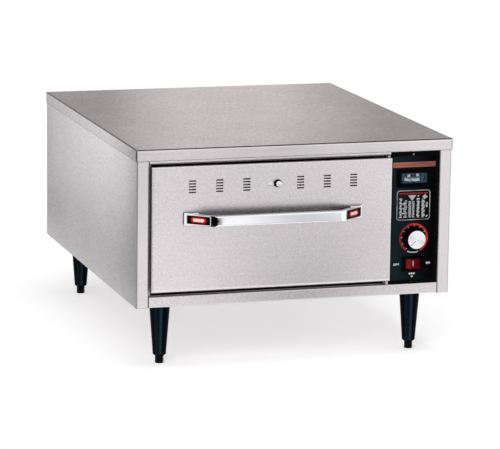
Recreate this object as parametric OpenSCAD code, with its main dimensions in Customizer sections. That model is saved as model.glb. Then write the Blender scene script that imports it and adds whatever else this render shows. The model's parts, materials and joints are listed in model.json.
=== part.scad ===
// Countertop warming drawer: a folded stainless case on four legs, with one
// heated drawer on roller slides and a control panel beside it.
// The model stands on z = 0 with its front facing -Y. Lengths are in millimetres.

/* [Case] */
// Width over the top cover
case_w = 580; // [520:1:700]
// Depth over the top cover
case_d = 684; // [660:1:800]
// Height from the underside of the case to the top of the cover
case_h = 279.4; // [270:0.1:320]
// Height of the case above the ground
stand_h = 110; // [95:1:140]
// Thickness of the case sheet
sheet = 1.2; // [0.9:0.1:1.6]
// Bend radius at the middle of the case sheet
bend = 1.8; // [1.2:0.1:2.5]
// Height of the lip that hangs from the top cover
lip_h = 20.6; // [15:0.1:30]
// Width of the left front post
post_left_w = 22.5; // [18:0.5:26]
// Width of the right front post
post_right_w = 21.9; // [18:0.1:26]
// Height of the bottom front rail
rail_h = 19.5; // [16:0.5:22]
// Drop of the header below the lip
header_drop = 6; // [4:0.5:8]
// Depth of the returns behind the front posts and rail
return_d = 14; // [10:0.5:18]
// Clearance between parts that are screwed together
fit = 0.3; // [0.2:0.05:0.5]

/* [Heated cavity] */
// Thickness of the cavity lining
liner_t = 0.8; // [0.6:0.1:1.2]
// Space between the cavity and the back panel
rear_space = 41.6; // [34:0.1:60]
// Thickness of the fibre board on the left of the cavity
board_left_t = 23.5; // [18:0.5:26]
// Thickness of the fibre board behind the cavity
board_back_t = 18; // [12:1:30]
// Diameter of the tubular heating element
element_dia = 8; // [6:0.5:10]
// Distance between the runs of the heating element
element_pitch = 78; // [60:1:96]
// Height of the element's centre above the cavity floor
element_rise = 14; // [10:0.5:20]
// Distance of the outer element brackets from the element's ends
bracket_inset = 40; // [20:1:80]
// Length of the thermostat's bulb
bulb_len = 80; // [50:1:100]
// Distance of the capillary beside the thermostat's axis
capillary_side = 15; // [10:0.5:20]

/* [Drawer] */
// Distance that the drawer pulls out
drawer_travel = 480; // [300:5:500]
// Distance that the drawer front stands out from the case
front_proud = 9.5; // [8:0.1:14]
// Gap between the drawer front and the bottom rail
front_gap_low = 7.8; // [3:0.1:8]
// Gap between the drawer front and the header
front_gap_top = 3.6; // [1.5:0.1:4]
// Gap between the drawer front and the left post
front_gap_left = 2.5; // [2:0.1:6]
// Width of the divider strip that the drawer front overlaps
mullion_w = 5.7; // [4:0.1:8]
// Radius of the drawer front's lower edge
front_round = 6; // [3:0.5:8]
// Thickness of the pan's wall
pan_t = 0.9; // [0.7:0.1:1.2]
// Depth of the pan, top to bottom
pan_h = 150; // [100:1:165]
// Width of the pan's mouth
pan_w = 303; // [200:1:330]
// Length of the pan's mouth, front to back
pan_d = 508; // [400:1:530]
// Width of the pan's rim
pan_rim = 11; // [8:0.5:14]
// Space between the pan and the top of the cavity
over_pan = 26.5; // [15:0.5:40]
// Distance of the pan's mouth behind the front of the case
pan_front = 40; // [30:1:60]
// Radius of the pan's upright corners
pan_corner = 42; // [25:1:60]

/* [Roller slides] */
// Depth of the slide channel, away from the cavity wall
channel_w = 12.5; // [11:0.1:14]
// Thickness of the slide channel
channel_t = 1.5; // [1.2:0.1:2]
// Diameter of the rollers at the back of the drawer
drawer_roller_dia = 20; // [16:0.5:26]
// Diameter of the rollers at the front of the case
case_roller_dia = 14; // [12:0.5:14]
// Width of the rollers
roller_w = 6.5; // [5:0.1:7.5]
// Diameter of the roller pins
roller_pin_dia = 5; // [4:0.1:6]
// Running clearance around a pin
running = 0.08; // [0.05:0.01:0.1]
// Distance of the slides below the pan's ledge
slide_drop = 92; // [80:1:110]
// Distance of the case rollers behind the front of the case
case_roller_y = 26; // [24:0.5:34]

/* [Vents] */
// Distance between the groups of vent slots
vent_pitch = 49; // [40:0.5:50]
// Length of a vent slot
vent_len = 13; // [10:0.1:13.5]
// Height of a vent slot
vent_slot_h = 2.5; // [1.5:0.1:3]
// Distance between the slots of a group
vent_step = 4.95; // [4:0.05:6]
// Slots in a group
vent_slots = 5; // [3:1:6]
// Groups on each side of the vent knob
vent_groups = 3; // [1:1:3]
// Height of the vents' middle above the middle of the drawer front
vent_rise = 75; // [60:0.5:85]
// Distance that the vent slide moves
vent_travel = 15; // [14:0.5:16]
// Diameter of the vent knob at the drawer front
vent_knob_dia = 14; // [12:0.1:15]
// Diameter of the vent knob's face
vent_knob_face = 9.6; // [8:0.1:11]
// Distance that the vent knob stands out from the drawer front
vent_knob_reach = 7; // [5:0.5:10]
// Height of the slot that the vent knob runs in
knob_slot_h = 8.8; // [6:0.1:9]

/* [Handle] */
// Length of the handle over its bases
handle_w = 325; // [260:1:360]
// Length of the handle's straight grip
grip_w = 222; // [150:1:230]
// Distance that the grip stands out from the drawer front
handle_reach = 40; // [32:0.5:48]
// Height of the grip
grip_h = 18.4; // [14:0.2:22]
// Thickness of the grip
grip_t = 8; // [6:0.5:10]
// Height of the bases
base_h = 21.5; // [18:0.5:26]
// Width of the pads that the handle is screwed through
pad_w = 24; // [20:0.5:34]
// Height of the handle above the middle of the drawer front
handle_rise = 19.5; // [0:0.5:40]
// Length of the black plates on the handle's slopes
plate_w = 44.4; // [30:0.2:44.8]
// Height of the black plates
plate_h = 16; // [12:0.2:17]

/* [Controls] */
// Distance of the thermometer's middle below the lip
thermometer_drop = 48.4; // [42:0.1:56]
// Width of the thermometer's frame
thermometer_w = 66; // [60:0.5:70]
// Height of the thermometer's frame
thermometer_h = 32; // [28:0.5:36]
// Height of the thermostat's shaft above the case underside
thermostat_z = 101.9; // [95:0.1:110]
// Diameter of the thermostat knob
knob_dia = 36; // [34:0.5:42]
// Diameter of the knob's metal cap
cap_dia = 32.6; // [28:0.1:36]
// Distance that the knob stands out from the panel
knob_reach = 17.5; // [14:0.5:26]
// Turn of the thermostat knob in degrees
knob_turn = 270; // [180:5:300]
// Height of the power switch above the case underside
switch_z = 55.7; // [48:0.1:60]
// Width of the switch's frame
switch_w = 43; // [38:0.5:46]
// Height of the switch's frame
switch_h = 26; // [22:0.5:30]
// Tilt of the switch's rocker, either way from level, in degrees
rocker_tilt = 9; // [5:0.5:10]

/* [Legs] */
// Distance of the legs from the sides of the cover
leg_inset = 57; // [45:0.5:80]
// Distance of the front legs from the front of the cover
leg_front = 50; // [40:0.5:80]
// Distance of the rear legs from the back of the cover
leg_rear = 52; // [40:0.5:80]
// Diameter of a leg at its top
leg_top_dia = 37.5; // [28:0.5:40]
// Diameter of a leg at its shoulder
leg_low_dia = 23.5; // [20:0.5:26]
// Height of the foot below the leg, screwed in
foot_h = 12.5; // [10:0.5:16]
// Width across the flats of the hexagonal foot
foot_af = 13.5; // [12:0.5:16]
// Distance that a foot screws out
foot_travel = 18; // [5:1:20]

/* [Hidden] */
$fn = 48;

steel = [0.80, 0.79, 0.79];
plain_steel = [0.68, 0.68, 0.70];
fibre = [0.88, 0.86, 0.80];
black = [0.05, 0.05, 0.06];
chrome = [0.86, 0.87, 0.89];

// Depth of the cord inlet behind the back panel
inlet_reach = 9;
skin_t = 1.0;
screw_dia = 3.5;
board_gap = 0.3;

// The case, from its front plane back
case_x = case_w / 2 - sheet - fit;
case_front = sheet + fit;
case_back = case_d - sheet - fit;
back_inner = case_back - sheet;
flange = 18;
z_low = stand_h;
z_top = stand_h + case_h;
z_shell = z_top - sheet;
lip_low = z_top - lip_h;
rail_top = z_low + rail_h;
header_low = lip_low - header_drop;

// The box over everything is centred on the origin in X and Y
reach_front = front_proud - case_front + handle_reach;
front_y = (reach_front - case_d - inlet_reach) / 2;

// The opening for the drawer and the panel beside it
open_left = -case_x + post_left_w;
panel_right = case_x - post_right_w;
panel_w = 91.8;
panel_left = panel_right - panel_w;
panel_x = (panel_left + panel_right) / 2;
thermometer_x = panel_x - 1.5;
film_x = thermometer_x;
open_right = panel_left - mullion_w;

// The heated cavity
liner_left = -case_x + sheet + fit + board_left_t + fit;
liner_right = open_right - 0.6;
liner_low = rail_top + fit;
liner_high = header_low - fit;
header_d = 22;
liner_front = case_front + sheet + 5;
liner_back = back_inner - rear_space;
liner_d = liner_back - liner_front;
cavity_left = liner_left + liner_t;
cavity_right = liner_right - liner_t;
cavity_x = (cavity_left + cavity_right) / 2;
cavity_floor = liner_low + liner_t;
pan_top = liner_high - liner_t - over_pan;
ledge_z = pan_top - pan_t - fit;

// The drawer front
front_left = open_left + front_gap_left;
front_right = panel_left - 0.3;
front_w = front_right - front_left;
front_x = (front_left + front_right) / 2;
front_top = header_low - front_gap_top;
front_low = rail_top + front_gap_low;
front_mid = (front_top + front_low) / 2;
front_face = case_front - front_proud;
front_back = case_front - 0.5;
vent_z = front_mid + vent_rise;
handle_z = front_mid + handle_rise;
vent_group_h = (vent_slots - 1) * vent_step + vent_slot_h;

// The slides
channel_in = drawer_roller_dia + 0.6;
channel_h = channel_in + 2 * channel_t;
channel_z = ledge_z - slide_drop;
drawer_roller_y = liner_back - 34;
slide_len = liner_d - 28;
rail_z = channel_z + channel_t + 0.3 + case_roller_dia + 0.3;
rail_web_x = channel_w + 1.2;
rail_t = 1.5;
inner_side = rail_web_x + rail_t + 0.3;

// The drawer's frame and pan
side_t = 1.2;
side_left = cavity_left + inner_side;
side_right = cavity_right - inner_side;
ledge_w = (side_right - side_left - pan_w) / 2 - side_t - 1.5;
pan_y = pan_front + pan_d / 2;
frame_d = pan_front + pan_d + pan_rim + 4;
frame_low = channel_z + 4;
bar_w = 14;

// The thermometer, thermostat and switch
panel_back = case_front + 2 * sheet;
film_t = 0.4;
film_face = panel_back - sheet - film_t;
window_w = 48.8;
window_h = 18.2;
bezel_proud = 2.2;
thermometer_z = lip_low - thermometer_drop;
needle_pin = 2;
hub_dia = 4;
needle_z = thermometer_z - window_h / 2 + hub_dia / 2 - 1.6;
shaft_dia = 6;
pivot_y = 4.5;

// The legs
leg_x = case_w / 2 - leg_inset;
leg_h = stand_h - foot_h;
leg_shoulder = 3.5;
stud_dia = 9.5;
shank_dia = 8;
LEG_PLACES = [
    [-leg_x, leg_front], [leg_x, leg_front],
    [-leg_x, case_d - leg_rear], [leg_x, case_d - leg_rear]
];

// ---------------------------------------------------------------- helpers

// Puts y = 0 at the front face of the cover's lip
module from_front() translate([0, front_y, 0]) children();

function unit2(v) = v / norm(v);

// Folded sheet in section: the path is the middle of the sheet, with square corners
module folded(path, t = sheet, r = bend) {
    last = len(path) - 1;
    for (i = [0 : last - 1]) {
        u = unit2(path[i + 1] - path[i]);
        a = path[i] + (i == 0 ? 0 : r) * u;
        b = path[i + 1] - (i == last - 1 ? 0 : r) * u;
        half = [abs(u[1]), abs(u[0])] * t / 2;
        low = [min(a[0], b[0]), min(a[1], b[1])] - half;
        high = [max(a[0], b[0]), max(a[1], b[1])] + half;
        translate(low) square(high - low);
    }
    for (i = [1 : last - 1]) {
        u = unit2(path[i] - path[i - 1]);
        v = unit2(path[i + 1] - path[i]);
        c = path[i] + (v - u) * r;
        span = (u - v) * (r + t);
        intersection() {
            translate(c) difference() {
                circle(r + t / 2);
                circle(r - t / 2);
            }
            translate([min(c[0], c[0] + span[0]), min(c[1], c[1] + span[1])])
                square([abs(span[0]), abs(span[1])]);
        }
    }
}

// Extrudes a drawing of (x, z) along Y from y0 to y1
module along_y(y0, y1) translate([0, y1, 0]) rotate([90, 0, 0]) linear_extrude(y1 - y0) children();

// Extrudes a drawing of (y, z) along X from x0 to x1
module along_x(x0, x1)
    translate([x0, 0, 0]) rotate([90, 0, 90]) linear_extrude(x1 - x0) children();

// Extrudes a drawing of (x, y) along Z from z0 to z1
module along_z(z0, z1) translate([0, 0, z0]) linear_extrude(z1 - z0) children();

// Box from one corner to the other
module block(low, high) translate(low) cube(high - low);

// Rectangle with each corner rounded by its own radius, from the low left one round
module round_rect(low, high, r = [0, 0, 0, 0]) {
    corner = [low, [high[0], low[1]], high, [low[0], high[1]]];
    into = [[1, 1], [-1, 1], [-1, -1], [1, -1]];
    difference() {
        translate(low) square(high - low);
        for (i = [0 : 3])
            if (r[i] > 0)
                translate(corner[i]) mirror([into[i][0] < 0 ? 1 : 0, 0])
                    mirror([0, into[i][1] < 0 ? 1 : 0])
                        difference() {
                            translate([-1, -1]) square(r[i] + 1);
                            translate([r[i], r[i]]) circle(r[i]);
                        }
    }
}

// Slot with round ends, lying along the first axis
module slot(length, height) {
    square([length - height, height], center = true);
    for (side = [-1, 1]) translate([side * (length - height) / 2, 0]) circle(height / 2);
}

// Round bar along Y
module bar_y(dia, y0, y1) translate([0, y0, 0]) rotate([-90, 0, 0]) cylinder(d = dia, h = y1 - y0);

// Round bar along X
module bar_x(dia, x0, x1) translate([x0, 0, 0]) rotate([0, 90, 0]) cylinder(d = dia, h = x1 - x0);

// Pan-head screw along +Y, its head's seat at y = 0
module screw_y(shank, length, head, head_h) {
    bar_y(head, -head_h, 0);
    bar_y(shank, -0.01, length);
}

// ------------------------------------------------------------------- case

// Block with the cover's rounded edges, from low up, each face moved in by inset
module cover_block(inset, round_r, low) {
    high = z_top - inset;
    intersection() {
        along_y(inset, case_d - inset)
            round_rect([-case_w / 2 + inset, low], [case_w / 2 - inset, high],
                [0, 0, round_r, round_r]);
        along_x(-case_w / 2, case_w / 2)
            round_rect([inset, low], [case_d - inset, high], [0, 0, round_r, round_r]);
        along_z(low, high)
            round_rect([-case_w / 2 + inset, inset], [case_w / 2 - inset, case_d - inset],
                [1, 1, 1, 1] * round_r);
    }
}

module top_cover() color(steel) from_front() difference() {
    cover_block(0, bend + sheet / 2, lip_low);
    cover_block(sheet, bend - sheet / 2, lip_low - 1);
}

// Left-hand side: a front post, a wall and a rear flange in one fold, with a flange on top
module side_shell(post_w) difference() {
    middle = -case_x + sheet / 2;
    wall_top = z_shell - sheet / 2 - bend;
    union() {
        along_z(z_low, wall_top) folded([
            [-case_x + post_w - sheet / 2, case_front + return_d],
            [-case_x + post_w - sheet / 2, case_front + sheet / 2],
            [middle, case_front + sheet / 2],
            [middle, back_inner - sheet / 2],
            [-case_x + flange, back_inner - sheet / 2]
        ]);
        along_y(case_front + return_d + 4, back_inner - 4) folded([
            [middle, wall_top - flange], [middle, z_shell - sheet / 2],
            [-case_x + flange, z_shell - sheet / 2]
        ]);
    }
    for (p = back_screw_places())
        translate([p[0], 0, p[1]]) bar_y(screw_dia + 0.1, back_inner - 4, case_back);
}

module left_side_panel() color(steel) from_front() side_shell(post_left_w);

module right_side_panel() color(steel) from_front() mirror([1, 0, 0]) side_shell(post_right_w);

// Places of the screws round the back panel, as (x, z)
function back_screw_places() = [
    for (side = [-1, 1], k = [0 : 3])
        [side * (case_x - 10), z_low + 28 + k * (case_h - lip_h - 56) / 3]
];

inlet_x = case_x - 62;
inlet_z = z_low + 42;
inlet_dia = 20;

module back_panel() color(plain_steel) from_front() difference() {
    block([-case_x + fit, back_inner, z_low], [case_x - fit, case_back, z_shell - bend]);
    for (p = back_screw_places())
        translate([p[0], 0, p[1]]) bar_y(4.4, back_inner - 1, case_back + 1);
    translate([inlet_x, 0, inlet_z]) bar_y(inlet_dia, back_inner - 1, case_back + 1);
}

module bottom_panel() color(steel) from_front() difference() {
    inside = case_x - sheet - 2 * fit;
    floor_y = case_front + return_d + 1;
    rear = back_inner - sheet - fit - sheet / 2;
    union() {
        along_x(open_left + fit, panel_right - fit) folded([
            [case_front + return_d, rail_top - sheet / 2],
            [case_front + sheet / 2, rail_top - sheet / 2],
            [case_front + sheet / 2, z_low + sheet / 2],
            [floor_y + 6, z_low + sheet / 2]
        ]);
        along_x(-inside, inside) folded([
            [floor_y, z_low + sheet / 2], [rear, z_low + sheet / 2], [rear, z_low + 18]
        ]);
        for (side = [-1, 1])
            block([side * inside - (side > 0 ? sheet : 0), floor_y, z_low],
                [side * inside + (side > 0 ? 0 : sheet), rear, z_low + 18]);
    }
    for (p = LEG_PLACES) translate([p[0], p[1], z_low - 1]) cylinder(d = stud_dia + 0.8, h = sheet + 2);
}

module front_header() color(steel) from_front()
    along_x(open_left + fit, panel_left) folded([
        [case_front + header_d, z_shell - sheet / 2],
        [case_front + sheet / 2, z_shell - sheet / 2],
        [case_front + sheet / 2, header_low + sheet / 2],
        [case_front + header_d, header_low + sheet / 2]
    ], r = 3);

module control_divider() color(plain_steel) from_front() difference() {
    wall = panel_left - sheet / 2;
    union() {
        along_z(rail_top + fit, header_low - fit) folded([
            [open_right, case_front + sheet / 2],
            [wall, case_front + sheet / 2],
            [wall, back_inner - fit - sheet / 2],
            [wall + flange, back_inner - fit - sheet / 2]
        ]);
        block([panel_left - sheet, case_front + return_d + fit, z_low + sheet + fit],
            [panel_left, back_inner - 10, rail_top + fit]);
        block([panel_left - sheet, case_front + header_d + fit, header_low - fit],
            [panel_left, back_inner - 10, z_shell - fit]);
    }
    translate([0, bulb_hole_y, bulb_z]) bar_x(capillary_hole, wall - 4, wall + 4);
}

// ---------------------------------------------------------- heated cavity

element_y0 = liner_front + 84;
element_y1 = liner_back - 70;
element_z = cavity_floor + element_rise;
element_runs = [-1.5, -0.5, 0.5, 1.5] * element_pitch;
bulb_z = channel_z + channel_h + 34;
bulb_x = cavity_right - 6.2;
bulb_y = liner_front + 190;
bulb_hole_y = bulb_y + 100;
capillary_hole = 5;

module cavity_liner() color(plain_steel) from_front() difference() {
    union() {
        block([liner_left, liner_front, liner_low], [liner_right, liner_back, liner_high]);
        block([open_left + fit, liner_front, liner_low],
            [panel_left - sheet - fit, liner_front + liner_t, liner_high]);
    }
    block([cavity_left, liner_front - 1, cavity_floor],
        [cavity_right, liner_back - liner_t, liner_high - liner_t]);
    for (x = [element_runs[0], element_runs[3]])
        translate([cavity_x + x, 0, element_z]) bar_y(element_dia + 1.6, liner_back - 4, liner_back + 4);
    translate([0, bulb_hole_y, bulb_z]) bar_x(capillary_hole, cavity_right - 4, liner_right + 4);
}

module insulation_left() color(fibre) from_front()
    block([liner_left - fit - board_left_t, case_front + header_d + 2, z_low + 20],
        [liner_left - fit, liner_back, z_shell - sheet - bend]);

module insulation_right() color(fibre) from_front() difference() {
    block([liner_right + board_gap, liner_front + liner_t + board_gap, liner_low],
        [panel_left - sheet - board_gap, liner_back, liner_high]);
    translate([0, bulb_hole_y, bulb_z]) bar_x(capillary_hole, liner_right - 2, panel_left + 2);
}

module insulation_top() color(fibre) from_front()
    block([liner_left, case_front + header_d + 2, header_low + sheet + board_gap],
        [panel_left - sheet - board_gap, liner_back, z_shell - board_gap]);

module insulation_bottom() color(fibre) from_front() difference() {
    block([liner_left, case_front + return_d + 2, z_low + sheet + board_gap],
        [panel_left - sheet - board_gap, liner_back, liner_low - board_gap]);
    for (p = LEG_PLACES) translate([p[0], p[1], z_low]) cylinder(d = 26, h = 11);
}

module insulation_back() color(fibre) from_front() difference() {
    block([liner_left, liner_back + board_gap, z_low + 20],
        [panel_left - sheet - board_gap, liner_back + board_gap + board_back_t,
            z_shell - board_gap]);
    for (x = [element_runs[0], element_runs[3]])
        translate([cavity_x + x, 0, element_z])
            bar_y(element_dia + 1.6, liner_back - 1, liner_back + board_back_t + 4);
}

// Half ring of the element between two runs, bulging along +Y or -Y
module element_bend(dir) mirror([0, dir > 0 ? 0 : 1, 0])
    rotate_extrude(angle = 180) translate([element_pitch / 2, 0]) circle(d = element_dia);

module heating_element() color([0.42, 0.38, 0.35]) from_front() translate([cavity_x, 0, element_z]) {
    tail = liner_back + board_back_t + 2;
    for (i = [0 : 3])
        translate([element_runs[i], 0, 0])
            bar_y(element_dia, element_y0, i == 0 || i == 3 ? tail : element_y1);
    for (x = [-1, 1] * element_pitch) translate([x, element_y0, 0]) element_bend(-1);
    translate([0, element_y1, 0]) element_bend(1);
    for (x = [element_runs[0], element_runs[3]]) translate([x, 0, 0]) bar_y(4, tail, tail + 9);
}

// Channels across the cavity floor, with a pair of tabs beside each run of the element
module element_brackets() color(plain_steel) from_front() {
    half = 1.5 * element_pitch + element_dia / 2 + 8;
    top = element_z - element_dia / 2 - 0.2;
    for (y = [element_y0 + bracket_inset, (element_y0 + element_y1) / 2, element_y1 - bracket_inset]) {
        along_x(cavity_x - half, cavity_x + half) folded([
            [y - 8, cavity_floor], [y - 8, top - liner_t / 2], [y + 8, top - liner_t / 2],
            [y + 8, cavity_floor]
        ], liner_t, 1.2);
        for (x = element_runs, side = [-1, 1])
            translate([cavity_x + x + side * (element_dia / 2 + 0.3 + liner_t / 2), y, top - 0.1])
                translate([-liner_t / 2, -5, 0]) cube([liner_t, 10, element_dia * 0.75]);
    }
}

// ----------------------------------------------------------- control panel

module control_panel() color(black) from_front() difference() {
    low = rail_top + fit;
    y0 = case_front + sheet;
    union() {
        block([panel_left + fit, y0, low], [panel_right - fit, y0 + sheet, z_shell - fit]);
        for (x = [panel_left + fit, panel_right - fit - sheet])
            block([x, y0, low], [x + sheet, y0 + 11, z_shell - fit]);
    }
    translate([thermometer_x, 0, thermometer_z])
        block([-thermometer_w / 2 + 3.7, 0, -thermometer_h / 2 + 3.2],
            [thermometer_w / 2 - 3.7, 12, thermometer_h / 2 - 3.2]);
    translate([panel_x, 0, z_low + thermostat_z]) bar_y(10, 0, 12);
    translate([panel_x, 0, z_low + switch_z])
        block([-switch_w / 2 + 3, 0, -switch_h / 2 + 2.2], [switch_w / 2 - 3, 12, switch_h / 2 - 2.2]);
    for (z = panel_screw_heights) translate([panel_screw_x, 0, z]) bar_y(panel_screw_dia + 0.6, 0, 12);
}

panel_screw_x = panel_x - 3.5;
panel_screw_dia = 3;
panel_screw_heights = [rail_top + 3.6, lip_low - 5.6];

module panel_film() color([0.10, 0.12, 0.14]) from_front() difference() {
    block([film_x - 40.5, film_face, rail_top + 7],
        [film_x + 40.5, film_face + film_t, lip_low - 9.2]);
    translate([thermometer_x, 0, thermometer_z])
        block([-thermometer_w / 2 + 3.7, 0, -thermometer_h / 2 + 3.2],
            [thermometer_w / 2 - 3.7, 12, thermometer_h / 2 - 3.2]);
    translate([panel_x, 0, z_low + thermostat_z]) bar_y(10, 0, 12);
    translate([panel_x, 0, z_low + switch_z])
        block([-switch_w / 2 + 3, 0, -switch_h / 2 + 2.2], [switch_w / 2 - 3, 12, switch_h / 2 - 2.2]);
}

// Angles behind the panel that its two screws hold
module panel_brackets() color(plain_steel) from_front() difference() {
    y = panel_back + 0.2;
    union() {
        along_x(panel_screw_x - 10, panel_screw_x + 10) folded([
            [y + 11, rail_top + fit + sheet / 2], [y + sheet / 2, rail_top + fit + sheet / 2],
            [y + sheet / 2, rail_top + 14]
        ]);
        along_x(panel_screw_x - 10, panel_screw_x + 10) folded([
            [y + 14, z_shell - sheet / 2], [y + sheet / 2, z_shell - sheet / 2],
            [y + sheet / 2, lip_low - 12]
        ]);
    }
    for (z = panel_screw_heights)
        translate([panel_screw_x, 0, z]) bar_y(panel_screw_dia + 0.1, y - 2, y + 6);
}

module panel_screws() color(chrome) from_front()
    for (z = panel_screw_heights)
        translate([panel_screw_x, case_front + sheet, z]) screw_y(panel_screw_dia, 8, 5, 1.1);

module back_screws() color(chrome) from_front()
    for (p = back_screw_places())
        translate([p[0], case_back, p[1]]) mirror([0, 1, 0]) screw_y(screw_dia, 7, 7, 1.8);

// -------------------------------------------------------------- thermometer

module thermometer_case() color(black) from_front()
    translate([thermometer_x, 0, thermometer_z]) difference() {
        block([-thermometer_w / 2 + 4, film_face + 0.2, -thermometer_h / 2 + 3.5],
            [thermometer_w / 2 - 4, 30, thermometer_h / 2 - 3.5]);
        block([-thermometer_w / 2 + 5.2, film_face - 1, -thermometer_h / 2 + 4.7],
            [thermometer_w / 2 - 5.2, 9, thermometer_h / 2 - 4.7]);
    }

module thermometer_bezel() color(black) from_front()
    translate([thermometer_x, 0, thermometer_z])
        along_y(film_face - bezel_proud, film_face - 0.1) difference() {
            round_rect([-thermometer_w / 2, -thermometer_h / 2], [thermometer_w / 2, thermometer_h / 2],
                [2, 2, 2, 2]);
            square([window_w, window_h], center = true);
        }

module thermometer_lens() color([0.85, 0.9, 0.95, 0.35]) from_front()
    translate([thermometer_x, 0, thermometer_z])
        block([-window_w / 2 + 0.1, film_face - 1.3, -window_h / 2 + 0.1],
            [window_w / 2 - 0.1, film_face - 0.3, window_h / 2 - 0.1]);

module thermometer_dial() color([0.12, 0.16, 0.20]) from_front() difference() {
    translate([thermometer_x, 0, thermometer_z])
        block([-thermometer_w / 2 + 5.4, 6.4, -thermometer_h / 2 + 4.9],
            [thermometer_w / 2 - 5.4, 7.2, thermometer_h / 2 - 4.9]);
    translate([thermometer_x, 0, needle_z]) bar_y(needle_pin + 2 * running, 5, 9);
}

module thermometer_needle() color([0.85, 0.12, 0.08]) from_front()
    translate([thermometer_x, 0, needle_z]) {
        bar_y(needle_pin, 4.2, 8.2);
        rotate([0, -50, 0]) along_y(4.2, 4.8)
            polygon([[-0.9, 0], [0.9, 0], [0.25, 15], [-0.25, 15]]);
        bar_y(hub_dia, 4, 5.2);
    }

// --------------------------------------------------------------- thermostat

module thermostat_body() color(plain_steel) from_front()
    translate([panel_x, 0, z_low + thermostat_z]) difference() {
        union() {
            bar_y(44, panel_back + 3, panel_back + 32);
            bar_y(9.4, case_front + sheet - 0.2, panel_back + 3);
            block([-24, panel_back + 0.2, -14], [24, panel_back + 3, 14]);
            for (x = [-12, 12]) block([x - 3.2, panel_back + 31, -0.4], [x + 3.2, panel_back + 42, 0.4]);
        }
        bar_y(shaft_dia + 2 * running, 0, panel_back + 20);
    }

module thermostat_shaft() color(chrome) from_front()
    translate([panel_x, 0, z_low + thermostat_z])
        bar_y(shaft_dia, film_face - knob_reach + 6, panel_back + 18);

module thermostat_knob() color(black) from_front()
    translate([panel_x, 0, z_low + thermostat_z]) difference() {
        union() {
            translate([0, film_face - knob_reach, 0]) rotate([-90, 0, 0])
                cylinder(d1 = knob_dia - 2, d2 = knob_dia, h = knob_reach - 3);
            bar_y(knob_dia + 4, film_face - 3, film_face - 1);
            for (a = [0 : 15 : 345]) rotate([0, a, 0])
                translate([knob_dia / 2 - 0.6, film_face - knob_reach + 3, 0])
                    bar_y(1.6, 0, knob_reach - 6);
        }
        bar_y(cap_dia + 0.2, film_face - knob_reach - 1, film_face - knob_reach + 1);
        translate([0, film_face - knob_reach + 6, 0]) bar_y(shaft_dia + 0.04, 0, knob_reach);
        translate([0, film_face - 2.5, 0]) bar_y(16, 0, 6);
    }

module knob_cap() color(chrome) from_front()
    translate([panel_x, 0, z_low + thermostat_z]) rotate([0, -45, 0]) difference() {
        bar_y(cap_dia, film_face - knob_reach - 0.2, film_face - knob_reach + 1);
        block([-cap_dia / 2 + 2, film_face - knob_reach - 1, -0.5],
            [-2.5, film_face - knob_reach + 0.2, 0.5]);
    }

// Quarter of a bend in a tube: in the XY plane from +X round to +Y
module bend_xy(r, dia, from) rotate([0, 0, from])
    rotate_extrude(angle = 90) translate([r, 0]) circle(d = dia);

// The same in the YZ plane, from +Y round to +Z
module bend_yz(r, dia, from) rotate([90, 0, 90]) bend_xy(r, dia, from);

// Capillary from the back of the thermostat to its bulb on the cavity wall
module thermostat_bulb() color([0.72, 0.45, 0.28]) from_front() {
    tube = 2.4;
    r = 8;
    run_x = panel_x - capillary_side;
    down_y = panel_back + 64;
    low_z = z_low + thermostat_z + 14;
    translate([bulb_x, 0, bulb_z]) bar_y(7, bulb_y, bulb_y + bulb_len);
    translate([bulb_x, 0, bulb_z]) bar_y(tube, bulb_y + bulb_len - 1, bulb_hole_y - r);
    translate([bulb_x + r, bulb_hole_y - r, bulb_z]) bend_xy(r, tube, 90);
    translate([0, bulb_hole_y, bulb_z]) bar_x(tube, bulb_x + r, run_x - r);
    translate([run_x - r, bulb_hole_y - r, bulb_z]) bend_xy(r, tube, 0);
    translate([run_x, 0, bulb_z]) bar_y(tube, down_y + r, bulb_hole_y - r);
    translate([run_x, down_y + r, bulb_z - r]) bend_yz(r, tube, 90);
    translate([run_x, down_y, low_z + r]) cylinder(d = tube, h = bulb_z - low_z - 2 * r);
    translate([run_x, down_y - r, low_z + r]) bend_yz(r, tube, -90);
    translate([run_x, 0, low_z]) bar_y(tube, panel_back + 32.1, down_y - r);
}

// ------------------------------------------------------------- power switch

rocker_r = 15.2;
rocker_h = 17.6;

module switch_housing() color(black) from_front()
    translate([panel_x, 0, z_low + switch_z]) difference() {
        union() {
            along_y(film_face - 2, film_face - 0.1)
                round_rect([-switch_w / 2, -switch_h / 2], [switch_w / 2, switch_h / 2], [1, 1, 1, 1] * 1.5);
            block([-switch_w / 2 + 3.3, film_face - 0.2, -switch_h / 2 + 2.5],
                [switch_w / 2 - 3.3, 30, switch_h / 2 - 2.5]);
            for (x = [-9, 0, 9]) block([x - 0.4, 29, -3.2], [x + 0.4, 39, 3.2]);
        }
        block([-rocker_r - 0.7, film_face - 3, -rocker_h / 2 - 0.4],
            [rocker_r + 0.7, 24, rocker_h / 2 + 0.4]);
        translate([0, pivot_y, -switch_h / 2 + 2.4]) cylinder(d = 3 + 2 * running, h = switch_h - 4.8);
    }

module switch_rocker() color([0.75, 0.08, 0.06]) from_front()
    translate([panel_x, pivot_y, z_low + switch_z]) rotate([0, 0, -rocker_tilt]) {
        translate([0, 0, -rocker_h / 2]) linear_extrude(rocker_h) intersection() {
            circle(rocker_r);
            polygon([[-rocker_r, -7.6], [0, -5.4], [rocker_r, -7.6], [rocker_r, 3], [4, 7], [-4, 7],
                [-rocker_r, 3]]);
        }
        translate([0, 0, -rocker_h / 2 - 1.6]) cylinder(d = 3, h = rocker_h + 3.2);
    }

terminal_y = back_inner - 110;
terminal_pitch = 12.5;

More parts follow.
